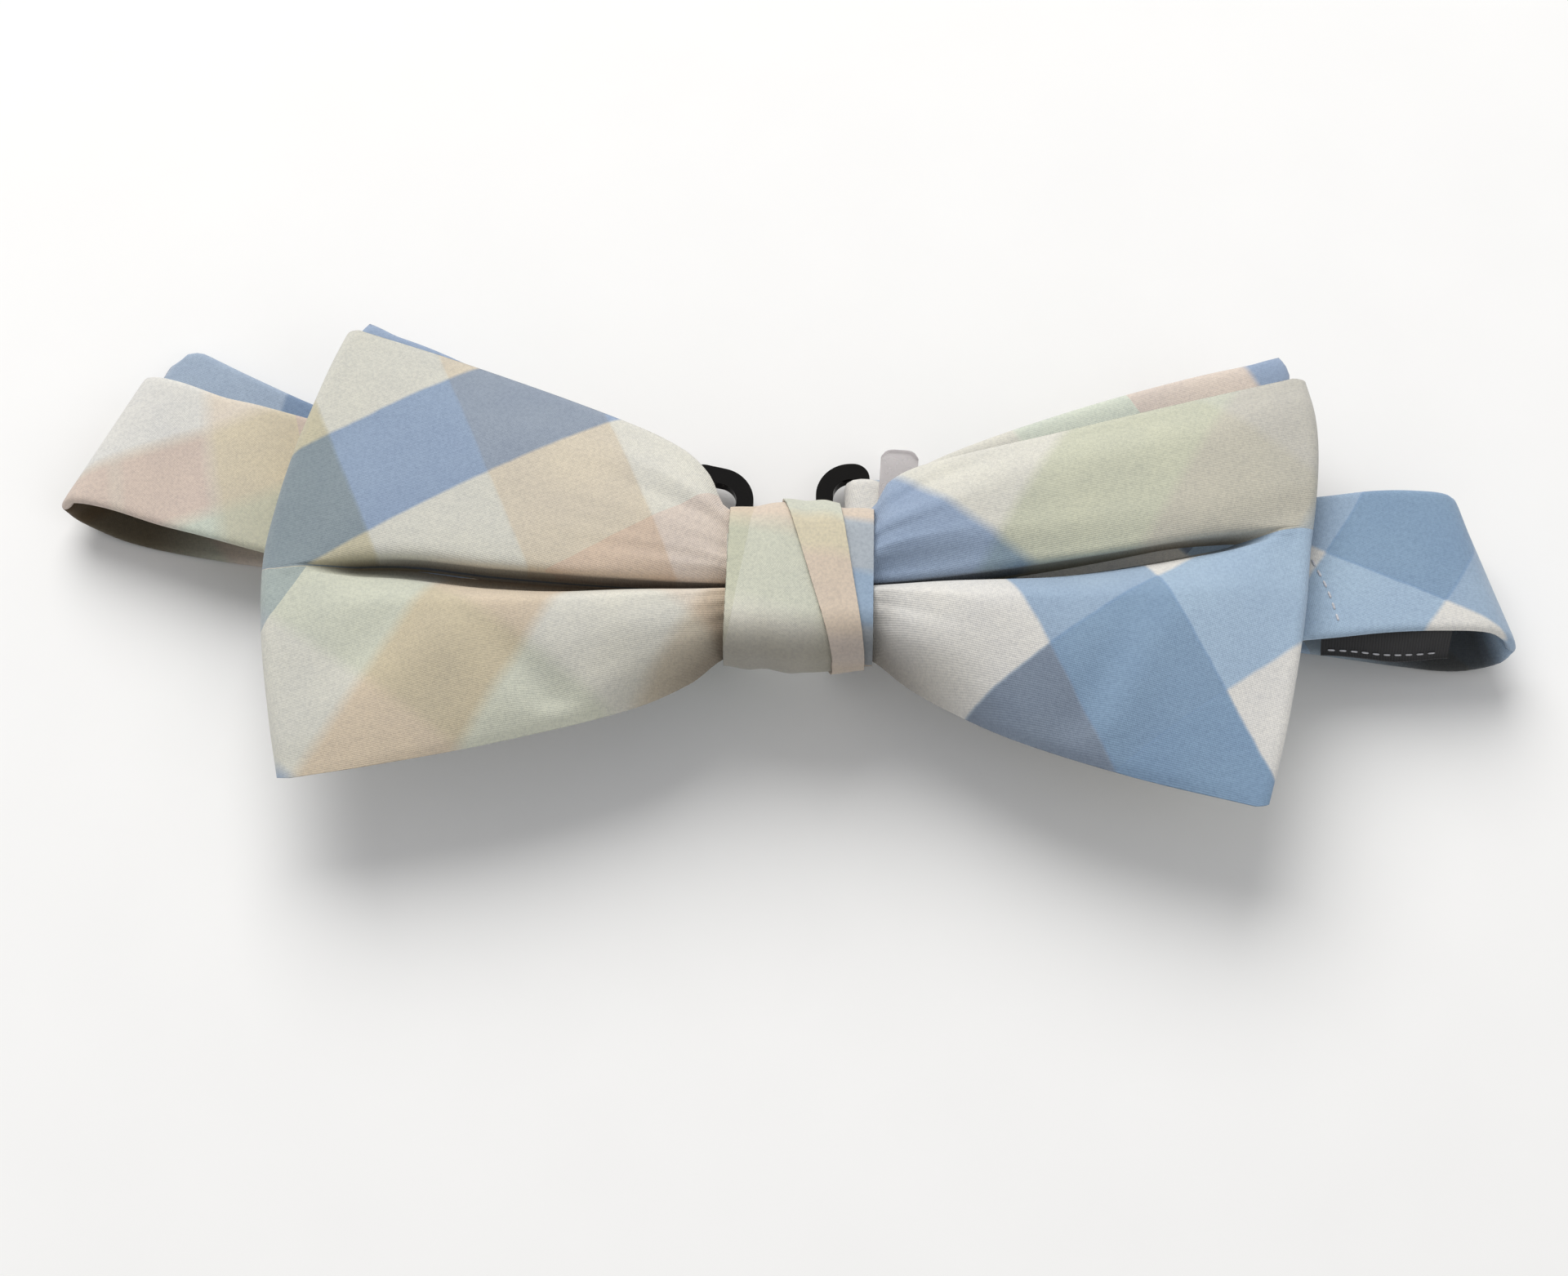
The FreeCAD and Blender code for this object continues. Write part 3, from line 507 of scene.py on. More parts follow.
class Wing:
    """One looped front wing: its front face, the fold at its end and its back face, as one surface.

    s runs from the knot along the front, round the outer fold and back to the knot behind. v runs from the
    top edge to the bottom edge. lip is the upper side of the crease, and outer the outline of the far end.
    """

    def __init__(self, sign, start, top, bottom, lip, outer, back_z, heights, dents, seed, cut, cut_area):
        self.sign, self.start, self.back_z = sign, start, back_z
        self.dents, self.seed = dents, seed
        self.cut, self.cut_area = cut, cut_area
        self.top = Spline(self.by_share(top))
        self.bottom = Spline(self.by_share(bottom))
        self.lip = Spline(self.by_share(lip))
        self.outer = Spline([(y, x) for x, y in sorted(outer, key=lambda p: p[1])])
        self.heights = {key: Spline(knots) for key, knots in heights.items()}
        self.profiles = {}
        self.end = self.profile(1.0)

    def by_share(self, points):
        """(x, y, z) points as (share of the way out, (y, z)) knots."""
        far = points[-1][0]
        return [((x - self.start) / (far - self.start), Vector((y, z, 0))) for x, y, z in points]

    def profile(self, t):
        """Cross-section of the front face at share t of the way out, as a spline of v giving (y, z)."""
        top, bottom, lip = self.top(t), self.bottom(t), self.lip(t)
        h = {key: f(t) for key, f in self.heights.items()}
        up, down = Vector((0, 1, 0)), Vector((1, 0, 0))
        return Spline([
            (0.0, top),
            (0.03, mix(top, lip, 0.05) + up * h["upper"] * 0.3),
            (0.16, mix(top, lip, 0.33) + up * h["upper"]),
            (0.34, mix(top, lip, 0.72) + up * h["upper"] * 0.9),
            (0.45, lip + down * 1.2 + up * h["brim"]),
            (0.485, lip + up * (h["brim"] - min(1.1, 0.3 * max(h["depth"], 0)))),
            (0.505, lip - down * 0.1 + down * h["tuck"] - up * h["depth"] * 0.6),
            (CREASE_V, lip - down * 0.3 + down * h["tuck"] - up * h["depth"]),
            (0.545, lip - down * h["gap"] * 0.7 - up * h["depth"] * 0.7),
            (0.575, lip - down * h["gap"] + up * h["shoulder"]),
            (0.66, mix(lip, bottom, 0.27) + up * h["lower"] * 0.9),
            (0.78, mix(lip, bottom, 0.55) + up * h["lower"]),
            (0.9, mix(lip, bottom, 0.83) + up * h["lower"] * 0.7),
            (0.97, mix(lip, bottom, 0.96) + up * h["lower"] * 0.3),
            (1.0, bottom),
        ], steady=True)

    def front(self, t, v):
        key = round(t, 6)
        if key not in self.profiles:
            self.profiles[key] = self.profile(t)
        yz = self.profiles[key](v)
        end_y = self.end(v)[0]
        x = mix(self.start, self.outer(end_y) - self.sign * FOLD_REACH, t)
        return Vector((x, yz[0], yz[1] + self.wrinkles(t, v, x, yz[0])))

    def wrinkles(self, t, v, x, y):
        """Gathers that fan out of the knot and fade, and slow swells over the whole face."""
        near = smooth(0.0, 0.06, t) * (1 - smooth(0.1, 0.5, t))
        angle = math.atan2(y, abs(x - self.start) + 9)
        gathers = noise.noise(Vector((angle * 6.5, t * 1.2, self.seed))) * 1.1
        fine = noise.noise(Vector((angle * 15.0, t * 2.5, self.seed + 5))) * 0.3
        swell = wobble(x, y, 17.0, self.seed) * 0.45 + wobble(x, y, 7.0, self.seed + 2) * 0.12
        away = smooth(0.02, 0.1, v) * (1 - smooth(0.9, 0.98, v))
        in_crease = mix(smooth(0.02, 0.07, abs(v - CREASE_V)), 1.0, smooth(0.84, 0.96, t))
        puffs = sum(dent(x, y, *d) for d in self.dents)
        return ((gathers + fine) * near + swell * smooth(0.1, 0.4, t) + puffs) * away * in_crease

    def back(self, t, v):
        """The back face, a little shorter than the front, with a shallow pinch behind the crease."""
        top, bottom = self.top(t), self.bottom(t)
        end_top, end_bottom = self.top(1.0)[0], self.bottom(1.0)[0]
        end_y = self.end(v)[0]
        share = (end_top - end_y) / (end_top - end_bottom)
        y = mix(top[0], bottom[0] + BACK_INSET * (1 - 0.5 * smooth(0.9, 1.0, t)), share)
        x = mix(self.start, self.outer(end_y) - self.sign * FOLD_REACH, t)
        z = mix(*self.back_z, t) + wobble(x, y, 15.0, self.seed + 9) * 0.15
        pinch = math.exp(-((v - CREASE_V) / 0.03) ** 2) * 0.6 * (1 - smooth(0.8, 1.0, t))
        return Vector((x, y, z + pinch))

    def surface(self, s, v):
        if s <= FOLD_START:
            return self.front(s / FOLD_START, v)
        if s >= FOLD_END:
            return self.back((1 - s) / (1 - FOLD_END), v)
        f, b = self.front(1.0, v), self.back(1.0, v)
        phi = (s - FOLD_START) / (FOLD_END - FOLD_START) * math.pi
        turned = (1 - math.cos(phi)) / 2
        p = mix(f, b, turned)
        p.x += self.sign * FOLD_REACH * math.sin(phi)
        return p

    def depth(self, s, v):
        """Thickness of the folded ply, rounded off along its two edges."""
        t = min(s / FOLD_START, (1 - s) / (1 - FOLD_END), 1)
        width = abs(self.top(t)[0] - self.bottom(t)[0])
        fold = mix(0.3, 1.0, smooth(0.015, 0.08, abs(v - CREASE_V))) if s < FOLD_END else 1.0
        return LOOP_PLY * fold * round_off(min(v, 1 - v) * width, LOOP_PLY * 1.2)

    def spread(self, s, v):
        """Flat cloth coordinates of a point: along the band from the knot, and up."""
        p = self.surface(s, v)
        far = self.outer(self.end(v)[0])
        x = p.x if s <= (FOLD_START + FOLD_END) / 2 else 2 * far - p.x
        return x, p.y

    def shade(self, s, v, layer):
        """Painted shade at the point: inside the loop, in the crease, under the belly and beside the knot.
        """
        if layer:
            return 0.35
        if s > FOLD_START:
            return 0.0
        t = s / FOLD_START
        in_crease = math.exp(-((v - CREASE_V - 0.002) / 0.024) ** 2) * mix(0.9, 0.0, smooth(0.82, 0.96, t))
        underside = (1 - smooth(0.04, 0.42, t)) * smooth(0.74, 1.0, v) * 0.8
        beside_knot = (1 - smooth(0.09, 0.14, t)) * smooth(0.5, 0.9, v) * 0.3
        return max(in_crease, underside, beside_knot)


LEFT = Wing(
    -1, -5.0,
    top=[(-5.0, 7.6, 17.0), (-9.3, 9.8, 17.4), (-10.8, 13.3, 17.8), (-14.0, 16.8, 17.8),
         (-21.6, 20.9, 17.6), (-40.2, 28.7, 16.8), (-53.6, 33.7, 16.2)],
    bottom=[(-5.0, -7.4, 14.5), (-9.3, -8.6, 13.8), (-13.0, -11.6, 13.8), (-20.0, -15.2, 14.6),
            (-36.0, -19.8, 15.6), (-50.0, -22.4, 15.2), (-59.6, -23.9, 15.0)],
    lip=[(-5.0, -0.2, 18.0), (-9.3, -0.4, 18.2), (-20.0, -0.1, 18.6), (-37.0, 1.2, 18.6),
         (-50.0, 3.0, 17.6), (-63.6, 2.6, 15.8)],
    outer=[(-54.4, 36.0), (-56.9, 29.9), (-59.3, 22.8), (-60.7, 18.5), (-62.7, 10.3), (-63.8, 3.4),
           (-63.4, -6.4), (-62.0, -16.4), (-60.6, -24.2)],
    back_z=(12.7, 12.4),
    heights={
        "upper": [(0.0, 1.0), (0.15, 2.2), (0.45, 2.0), (0.8, 1.2), (1.0, 0.5)],
        "brim": [(0.0, 0.2), (0.3, 0.7), (0.7, 0.8), (0.9, 0.3), (1.0, 0.0)],
        "lower": [(0.0, 1.6), (0.15, 4.2), (0.35, 4.0), (0.7, 2.2), (1.0, 0.6)],
        "gap": [(0.0, 0.7), (0.2, 1.2), (0.5, 2.2), (0.8, 2.3), (0.93, 1.6), (1.0, 1.4)],
        "shoulder": [(0.0, 0.0), (0.2, -0.4), (0.5, -1.5), (0.8, -1.2), (0.93, 0.0), (1.0, 0.0)],
        "depth": [(0.0, 3.0), (0.2, 4.6), (0.6, 4.6), (0.82, 3.0), (0.94, 0.0), (1.0, 0.0)],
        "tuck": [(0.0, 0.5), (0.3, 0.7), (0.66, 0.7), (0.85, 0.0), (1.0, 0.0)],
    },
    dents=[((-20.0, -6.5), -20, 8.0, 4.5, 1.0), ((-31.0, -12.5), -45, 8.0, 2.6, -1.2),
           ((-50.0, -8.0), 35, 10.0, 3.5, -0.6), ((-44.0, -9.0), 40, 12.0, 5.0, 0.5)],
    seed=3.0, cut=(0.058, 0.119), cut_area=0.0054,
)
RIGHT = Wing(
    1, 4.6,
    top=[(4.6, 7.6, 17.0), (8.6, 9.4, 17.6), (10.4, 12.2, 18.4), (15.0, 14.6, 18.4), (31.9, 19.2, 17.8),
         (45.8, 23.0, 17.2), (60.9, 27.0, 16.4)],
    bottom=[(4.6, -7.4, 14.2), (8.6, -8.8, 13.4), (12.0, -11.6, 13.4), (16.5, -14.6, 13.8),
            (25.2, -19.2, 15.0), (39.2, -24.0, 15.6), (53.9, -27.4, 15.0)],
    lip=[(4.6, -0.2, 18.0), (8.6, -0.4, 18.2), (20.0, 0.6, 18.6), (36.0, 3.0, 18.6), (48.0, 5.4, 18.0),
         (60.2, 7.6, 16.4)],
    outer=[(60.6, 27.8), (61.6, 22.0), (61.7, 16.9), (61.0, 10.0), (60.2, 5.0), (59.2, -3.0), (57.9, -10.3),
           (56.0, -19.0), (53.6, -27.8)],
    back_z=(12.8, 14.0),
    heights={
        "upper": [(0.0, 1.0), (0.15, 2.2), (0.45, 2.2), (0.8, 1.6), (1.0, 0.7)],
        "brim": [(0.0, 0.2), (0.3, 0.6), (0.7, 0.8), (0.9, 0.5), (1.0, 0.0)],
        "lower": [(0.0, 1.6), (0.12, 4.4), (0.35, 4.0), (0.75, 2.4), (1.0, 0.8)],
        "gap": [(0.0, 0.5), (0.2, 0.9), (0.5, 1.8), (0.8, 2.1), (0.95, 1.6), (1.0, 1.4)],
        "shoulder": [(0.0, 0.0), (0.2, -0.2), (0.5, -1.2), (0.8, -1.2), (0.94, 0.0), (1.0, 0.0)],
        "depth": [(0.0, 3.0), (0.2, 4.6), (0.6, 4.8), (0.84, 3.2), (0.95, 0.0), (1.0, 0.0)],
        "tuck": [(0.0, 0.5), (0.3, 0.7), (0.68, 0.8), (0.87, 0.0), (1.0, 0.0)],
    },
    dents=[((18.0, -6.5), 15, 8.0, 4.5, 0.8), ((38.0, -14.0), 62, 14.0, 3.0, 0.5),
           ((33.0, -16.0), 60, 10.0, 2.6, -0.6), ((30.0, 12.0), 20, 18.0, 3.0, 0.4)],
    seed=11.0, cut=(0.0545, 0.115), cut_area=0.0049,
)

# rows and columns of the print where each half of each wing was cut, and how it lies there
LEFT_UPPER = plaid("plaid_left_upper", [CREAM, BLUE, CREAM, PINK], [MOSS, ASH, WARM, WHITE, WARM],
                   soft=0.012)
LEFT_LOWER = plaid("plaid_left_lower", [BLUE, CREAM, SAGE, CREAM, WARM], [ASH, PEACH, WHITE, WARM, STEEL],
                   soft=0.06)
RIGHT_UPPER = plaid("plaid_right_upper", [BLUE, CREAM, CREAM, ASH], [WHITE, SAGE, WARM_ASH, STEEL],
                    soft=0.05)
# cells: the crossing, the azure column made darker below it, and the sky row darkened with painted shade to
# its lower left
RIGHT_LOWER = plaid("plaid_right_lower", [WHITE, SKY, WHITE, WHITE], [WHITE, AZURE, WHITE, WHITE],
                    soft=0.016, cells={(1, 1): DENIM, (0, 1): DARKER_AZURE, (1, 0): SKY_IN_PAINTED_SHADE})
LEFT_UPPER_LAY = Lay(26.7, 112, (-42.4, 26.4), (2.0, 2.0), wide=1.1)
LEFT_LOWER_LAY = Lay(-36, 57, (-51.0, -12.2), (2.0, 1.0), 14.0)
RIGHT_UPPER_LAY = Lay(-35, 60, (22.9, 4.5), (1.0, 1.0), 15.0)
RIGHT_LOWER_LAY = Lay(36, 118, (28.6, -9.4), (2.0, 1.0), 15.8)


def make_wing(wing, side, materials, lays, waist=()):
    """One looped wing. materials and lays are for its halves above and below the crease."""
    us = [FOLD_START * i / FRONT_STEPS for i in range(FRONT_STEPS)]
    us += [mix(FOLD_START, FOLD_END, i / FOLD_STEPS) for i in range(FOLD_STEPS)]
    us += [mix(FOLD_END, 1, i / BACK_STEPS) for i in range(BACK_STEPS + 1)]

    def half(s, v):
        return 0 if v < CREASE_V else 1

    obj = thick_sheet(
        f"{side}_loop_cloth", wing.surface, us, steps(ACROSS_STEPS), wing.depth,
        lambda s, v: lays[half(s, v)](*wing.spread(s, v)), materials,
        slot_of=half, shade=wing.shade, flip=-wing.sign,
    )
    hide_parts(f"{side}_loop", f"{side}_loop_interlining", *waist)
    start, end = at(wing.sign * 9.4, 0, 16), at(wing.sign * 15.0, 0, 16)
    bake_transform(obj)
    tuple(start)
    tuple(end)


# ---- rear tails ----
TAIL_PLY, TAIL_EDGE, TAIL_END, TAIL_REACH = 1.9, 1.6, 1.4, 50


class Tail:
    """One flat rear tail, between its upper and lower edges, with a rounded end."""

    def __init__(self, sign, top, bottom, z, seed):
        self.sign, self.seed, self.z = sign, seed, z
        self.top = chord_spline([Vector((x, y, 0)) for x, y in top])
        self.bottom = chord_spline([Vector((x, y, 0)) for x, y in bottom])

    def surface(self, u, v):
        p = mix(self.top(u), self.bottom(u), v)
        p.z = mix(*self.z, u) + wobble(p.x, p.y, 14.0, self.seed) * 0.2
        corner = max(0.0, 1 - min(v, 1 - v) * 18) ** 2 * smooth(0.9, 1.0, u)
        p.x += self.sign * (1.2 * math.sin(math.pi * v) * u - 1.4 * corner)
        return p

    def depth(self, u, v):
        width = (self.top(u) - self.bottom(u)).length
        edge = min(v, 1 - v) * width
        return TAIL_PLY * round_off(edge, TAIL_EDGE) * round_off((1 - u) * TAIL_REACH, TAIL_END)


LEFT_TAIL = Tail(
    -1, [(-4.0, 5.0), (-9.0, 7.4), (-15.0, 15.2), (-24.0, 21.4), (-34.0, 27.6), (-44.5, 33.2),
         (-54.4, 37.1)],
    [(-4.0, -5.0), (-9.0, -7.2), (-20.0, -12.6), (-36.0, -16.2), (-57.0, -19.0)], (11.8, 11.4), 21.0,
)
RIGHT_TAIL = Tail(
    1, [(4.0, 5.0), (8.6, 8.4), (12.5, 15.6), (17.6, 18.9), (32.5, 24.5), (46.6, 28.7), (59.4, 31.6)],
    [(4.0, -5.0), (8.6, -7.2), (20.0, -12.0), (34.0, -16.0), (52.0, -21.0)], (11.8, 13.0), 27.0,
)


def make_tail(tail, side, material, lay):
    obj = thick_sheet(
        f"{side}_tail_cloth", tail.surface, steps(60), steps(40, (0.0, 0.004, 0.012, 0.025, 0.045)),
        tail.depth, lambda u, v: lay(*tail.surface(u, v).xy), [material], both=True, flip=-tail.sign,
    )
    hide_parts(f"{side}_tail_front", f"{side}_tail_interlining", f"{side}_tail_back")
    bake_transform(obj)


TAIL_LEFT = plaid("plaid_tail_left", [CREAM, BLUE, CREAM, BLUE], [WHITE, WHITE, WARM, WHITE], soft=0.02)
TAIL_RIGHT = plaid("plaid_tail_right", [PINK, BLUE, CREAM, MINT], [WHITE, WHITE, ASH, WHITE])


# ---- knot ----
KNOT_CORNER = 4.6


def around_knot(turn, grow=0.0):
    """(y, z) of the knot's rounded section at that share of a turn from the middle of its back, upwards."""
    half_y, z0, z1 = KNOT_HALF_Y + grow, KNOT_Z[0] - grow, KNOT_Z[1] + grow
    r = KNOT_CORNER + grow
    flat_y, flat_z = 2 * (half_y - r), (z1 - z0) - 2 * r
    arc = math.pi * r / 2
    total = 2 * flat_y + 2 * flat_z + 4 * arc
    s = (turn % 1.0) * total
    runs = [
        (flat_y / 2, lambda d: (d, z0)),
        (arc, lambda d: (half_y - r + r * math.sin(d / r), z0 + r - r * math.cos(d / r))),
        (flat_z, lambda d: (half_y, z0 + r + d)),
        (arc, lambda d: (half_y - r + r * math.cos(d / r), z1 - r + r * math.sin(d / r))),
        (flat_y, lambda d: (half_y - r - d, z1)),
        (arc, lambda d: (-half_y + r - r * math.sin(d / r), z1 - r + r * math.cos(d / r))),
        (flat_z, lambda d: (-half_y, z1 - r - d)),
        (arc, lambda d: (-half_y + r - r * math.cos(d / r), z0 + r - r * math.sin(d / r))),
        (flat_y / 2, lambda d: (-half_y + r + d, z0)),
    ]
    for length, place in runs:
        if s <= length:
            return place(s)
        s -= length
    return 0.0, z0


def knot_surface(x_edges, grow, seed):
    """Surface of a strip of the wrap: turn runs round the knot, v across it between two slanted edges."""

    def surface(turn, v):
        y, z = around_knot(turn, grow)
        slant = (KNOT_HALF_Y - y) / (2 * KNOT_HALF_Y)
        left, right = (mix(e[0], e[1], slant) for e in x_edges)
        x = mix(left, right, v)
        middle = Vector((0, 0, sum(KNOT_Z) / 2))
        out = (Vector((0, y, z)) - middle).normalized()
        # the wrap is fullest in its middle and pulls in at its two edges
        across = (x - KNOT_X[0]) / (KNOT_X[1] - KNOT_X[0])
        crown = 0.7 * math.sin(math.pi * min(max(across, 0), 1)) - 0.45
        ripple = wobble(x * 3.0, y, 9.0, seed) * 0.32 + math.sin(x * 1.15 + y * 0.08 + seed) * 0.1
        return Vector((x, y, z)) + out * (crown + ripple)

    return surface


KNOT_PLAID = plaid("plaid_knot", [CREAM, SAGE, PEACH, CREAM], [WHITE, CREAM, WHITE, CREAM], soft=0.16)
KNOT_BLUE = plaid("plaid_knot_side", [STEEL, AZURE, STEEL, PEACH], [WHITE, WHITE, WHITE], soft=0.1)
PLEAT_PLAID = plaid("plaid_knot_pleat", [PEACH, PINK, PEACH, PEACH, YELLOW, SAGE], [WHITE, WHITE], soft=0.2)


def wrap_uv(surface, lay):
    """Cloth coordinates of a strip of the wrap, rolled out flat above and below the knot's front."""

    def uv(turn, v):
        p = surface(turn, v)
        along = p.y + 0.8 * (p.z - KNOT_Z[1]) * (1 if p.y < 0 else -1)
        return lay(p.x, along)

    return uv


def make_knot():
    """The wrap in three strips: its left part, the part beside it on the right, and the pleat over both."""
    turns = [i / 120 for i in range(121)]
    edge = (0.0, 0.01, 0.03, 0.06, 0.1)
    strips = [
        # name, x of the left edge at the top and bottom, the same for the right edge, grow, thickness,
        # shadow beneath, material, lay, node that it replaces
        ("knot_cloth", ((-8.4, -9.2), (1.6, 5.0)), 0.0, 1.1, 0.6, KNOT_PLAID,
         Lay(-14, 80, (-6.0, 6.6), (2.0, 0.0), 11.0), "knot_wrap"),
        ("knot_side_cloth", ((1.0, 4.4), (8.5, 8.2)), -0.1, 1.1, 0.6, KNOT_BLUE,
         Lay(-14, 80, (4.0, 7.6), (3.0, 0.0), 7.0), None),
        ("knot_pleat_cloth", ((-2.2, 3.4), (4.4, 7.2)), 0.4, 0.75, 0.3, PLEAT_PLAID,
         Lay(-6, 80, (0.0, 6.8), (5.0, 0.0), 5.0), "knot_pleat"),
    ]
    made = []
    for name, edges, grow, thickness, shadow, material, lay, node in strips:
        surface = knot_surface(edges, grow, 10)

        def depth(turn, v, edges=edges, thickness=thickness):
            width = abs(edges[1][0] - edges[0][0])
            return thickness * round_off(min(v, 1 - v) * width, thickness * 0.8)

        # painted shade on the knot's lower side and on the inner face of each strip
        def shade(turn, v, layer, shadow=shadow):
            y, z = around_knot(turn)
            return 0.6 if layer else shadow * smooth(4.0, 10.5, -y) * smooth(9.0, 12.0, z)

        obj = thick_sheet(name, surface, turns, steps(26, edge), depth, wrap_uv(surface, lay), [material],
                          shade=shade)
        if node:
            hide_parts(node)
        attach(obj, "bow")
        made.append(obj)
    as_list(made[1:])


# ---- neck strap ----
class Strap:
    """A stretch of strap as a row of rulings; end_radius rounds the two corners at its far end."""

    def __init__(self, rulings, seed, end_radius=0.0):
        self.end_radius = end_radius
        self.centre = chord_spline([Vector(c) for c, _ in rulings])
        self.half = Spline(list(zip(self.centre.t, [Vector(h) for _, h in rulings])))
        self.length = sum((Vector(b[0]) - Vector(a[0])).length for a, b in zip(rulings, rulings[1:]))
        self.seed = seed

    def surface(self, u, v):
        half = self.half(u)
        if self.end_radius:
            rounding = 1 - round_off((1 - u) * self.length, self.end_radius)
            half = half * (1 - rounding * self.end_radius / half.length)
        p = self.centre(u) + half * (1 - 2 * v)
        p.z += wobble(u * self.length, v * STRAP_WIDTH, 9.0, self.seed) * 0.16 * math.sin(math.pi * v)
        return p

    def depth(self, u, v):
        return STRAP * round_off(min(v, 1 - v) * STRAP_WIDTH, STRAP * 0.75)


def ruling(x, y, z, angle, half=STRAP_WIDTH / 2):
    """Centre and half-width vector to the upper edge; angle turns the ruling from +Y towards +X."""
    a = math.radians(angle)
    return (x, y, z), (math.sin(a) * half, math.cos(a) * half, 0.0)


def make_strap(name, strap, material, lay, start_at=0.0, shade=unshaded):
    """One run of the strap; its print goes on from start_at."""
    count = max(int(strap.length / 0.9), 12)
    us = [i / count for i in range(count + 1)]

    def uv(u, v):
        return lay(start_at + u * strap.length, (0.5 - v) * STRAP_WIDTH)

    obj = thick_sheet(name, strap.surface, us, steps(24, (0.0, 0.006, 0.018, 0.035, 0.055)),
                      strap.depth, uv, [material], shade=shade, both=True)
    return obj


LEFT_FRONT_PLAID = plaid("plaid_strap_left", [MINT, STRAW, WHITE], [WARM, ASH, ASH], soft=0.1,
                         cells={(1, 1): BLUSH, (1, 2): BLUSH})
LEFT_BACK_PLAID = plaid("plaid_strap_left_back", [WARM, CREAM, SAGE, PINK], [WHITE, CREAM, PEACH, WHITE],
                        soft=0.05)
SPARE_PLAID = plaid("plaid_strap_spare", [CREAM, SPARE_BLUE, SPARE_BLUE, WHITE], [STEEL, WHITE, WHITE],
                    soft=0.02)
RIGHT_STRAP_PLAID = plaid("plaid_strap_right", [WHITE, AZURE, WHITE, CREAM], [WHITE, SKY, WHITE, WARM],
                          soft=0.016, cells={(1, 1): DENIM})
LEFT_STRAP_LAY = Lay(-39, 61, (69.0, -5.7), (1.0, 1.0), 11.0)
SPARE_LAY = Lay(8, 80, (38.0, -3.0), (1.0, 1.0), 13.0)
RIGHT_STRAP_LAY = Lay(-29, 54, (60.7, 1.6), (1.0, 1.0), 14.6)
WRAP_RADIUS = 1.55  # from a bar's centre to the middle of the cloth round it


def bar_wrap(bar, heading, direction):
    """Rulings round a bar: a half turn from under it to over it, opening towards -direction."""
    x, y, z = bar
    points = []
    for degrees in range(-90, 91, 30):
        a = math.radians(degrees)
        out, up = WRAP_RADIUS * math.cos(a), WRAP_RADIUS * math.sin(a)
        points.append(ruling(x + direction * out, y, z + up, heading))
    return points


def make_left_strap():
    """Front run with the outer half of the fold, return run with the ring's loop, and the spare end."""
    front = Strap([
        ruling(-2.0, 0.3, 8.7, 4, 6.6), ruling(-9.0, 1.6, 8.7, 8, 7.2), ruling(-18.0, 3.8, 8.7, 13),
        ruling(-30.0, 8.0, 8.8, 13.5), ruling(-46.0, 12.4, 8.8, 14.5), ruling(-60.0, 15.7, 8.9, 16),
        ruling(-69.5, 18.2, 9.5, 19), ruling(-74.0, 19.6, 9.0, 22), ruling(-80.0, 21.8, 8.9, 25, 9.4),
        ruling(-84.2, 23.1, 7.7, 27, 9.5), ruling(-85.4, 23.2, 5.0, 29, 9.4),
    ], 31.0)
    obj = make_strap("left_strap_front_cloth", front, LEFT_FRONT_PLAID, LEFT_STRAP_LAY)
    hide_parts("left_strap_front", "left_strap_fold")
    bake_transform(obj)
    back = Strap([
        ruling(-85.4, 23.2, 5.0, 29, 9.4), ruling(-84.2, 22.8, 2.4, 26), ruling(-79.5, 21.2, 0.8, 18),
        ruling(-70.0, 19.2, 0.6, 13), ruling(-56.0, 17.2, 0.6, 13), ruling(-42.0, 15.1, 0.65, 13),
        ruling(-33.0, 13.4, 0.7, 13), ruling(-25.0, 12.0, 1.5, 13), ruling(-19.0, 11.0, 1.5, 13),
        *bar_wrap((-15.3, 10.4, 3.05), 13, 1),
        ruling(-18.0, 10.9, 4.5, 13), ruling(-22.0, 11.7, 3.0, 13), ruling(-28.8, 12.9, 2.8, 13),
    ], 37.0)
    # painted shade darkens the return run near the fold, inside the loop
    obj = make_strap("left_strap_return_cloth", back, LEFT_BACK_PLAID, LEFT_STRAP_LAY,
                     start_at=front.length,
                     shade=lambda u, v, layer: 0.95 * (1 - smooth(0.1, 0.3, u)))
    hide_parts("left_strap_return")
    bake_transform(obj)
    spare = Strap([
        ruling(-29.2, 13.0, 2.8, 14), ruling(-35.0, 14.2, 2.1, 15), ruling(-50.0, 17.4, 1.95, 18),
        ruling(-62.0, 21.1, 2.3, 23), ruling(-72.0, 25.8, 2.4, 27), ruling(-81.6, 31.1, 1.95, 31),
    ], 41.0, end_radius=3.2)
    obj = make_strap("left_strap_spare_cloth", spare, SPARE_PLAID, SPARE_LAY)
    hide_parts("left_strap_spare_end")
    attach(obj, "left_return")


RIGHT_RETURN_SLOPE = -3.7  # degrees


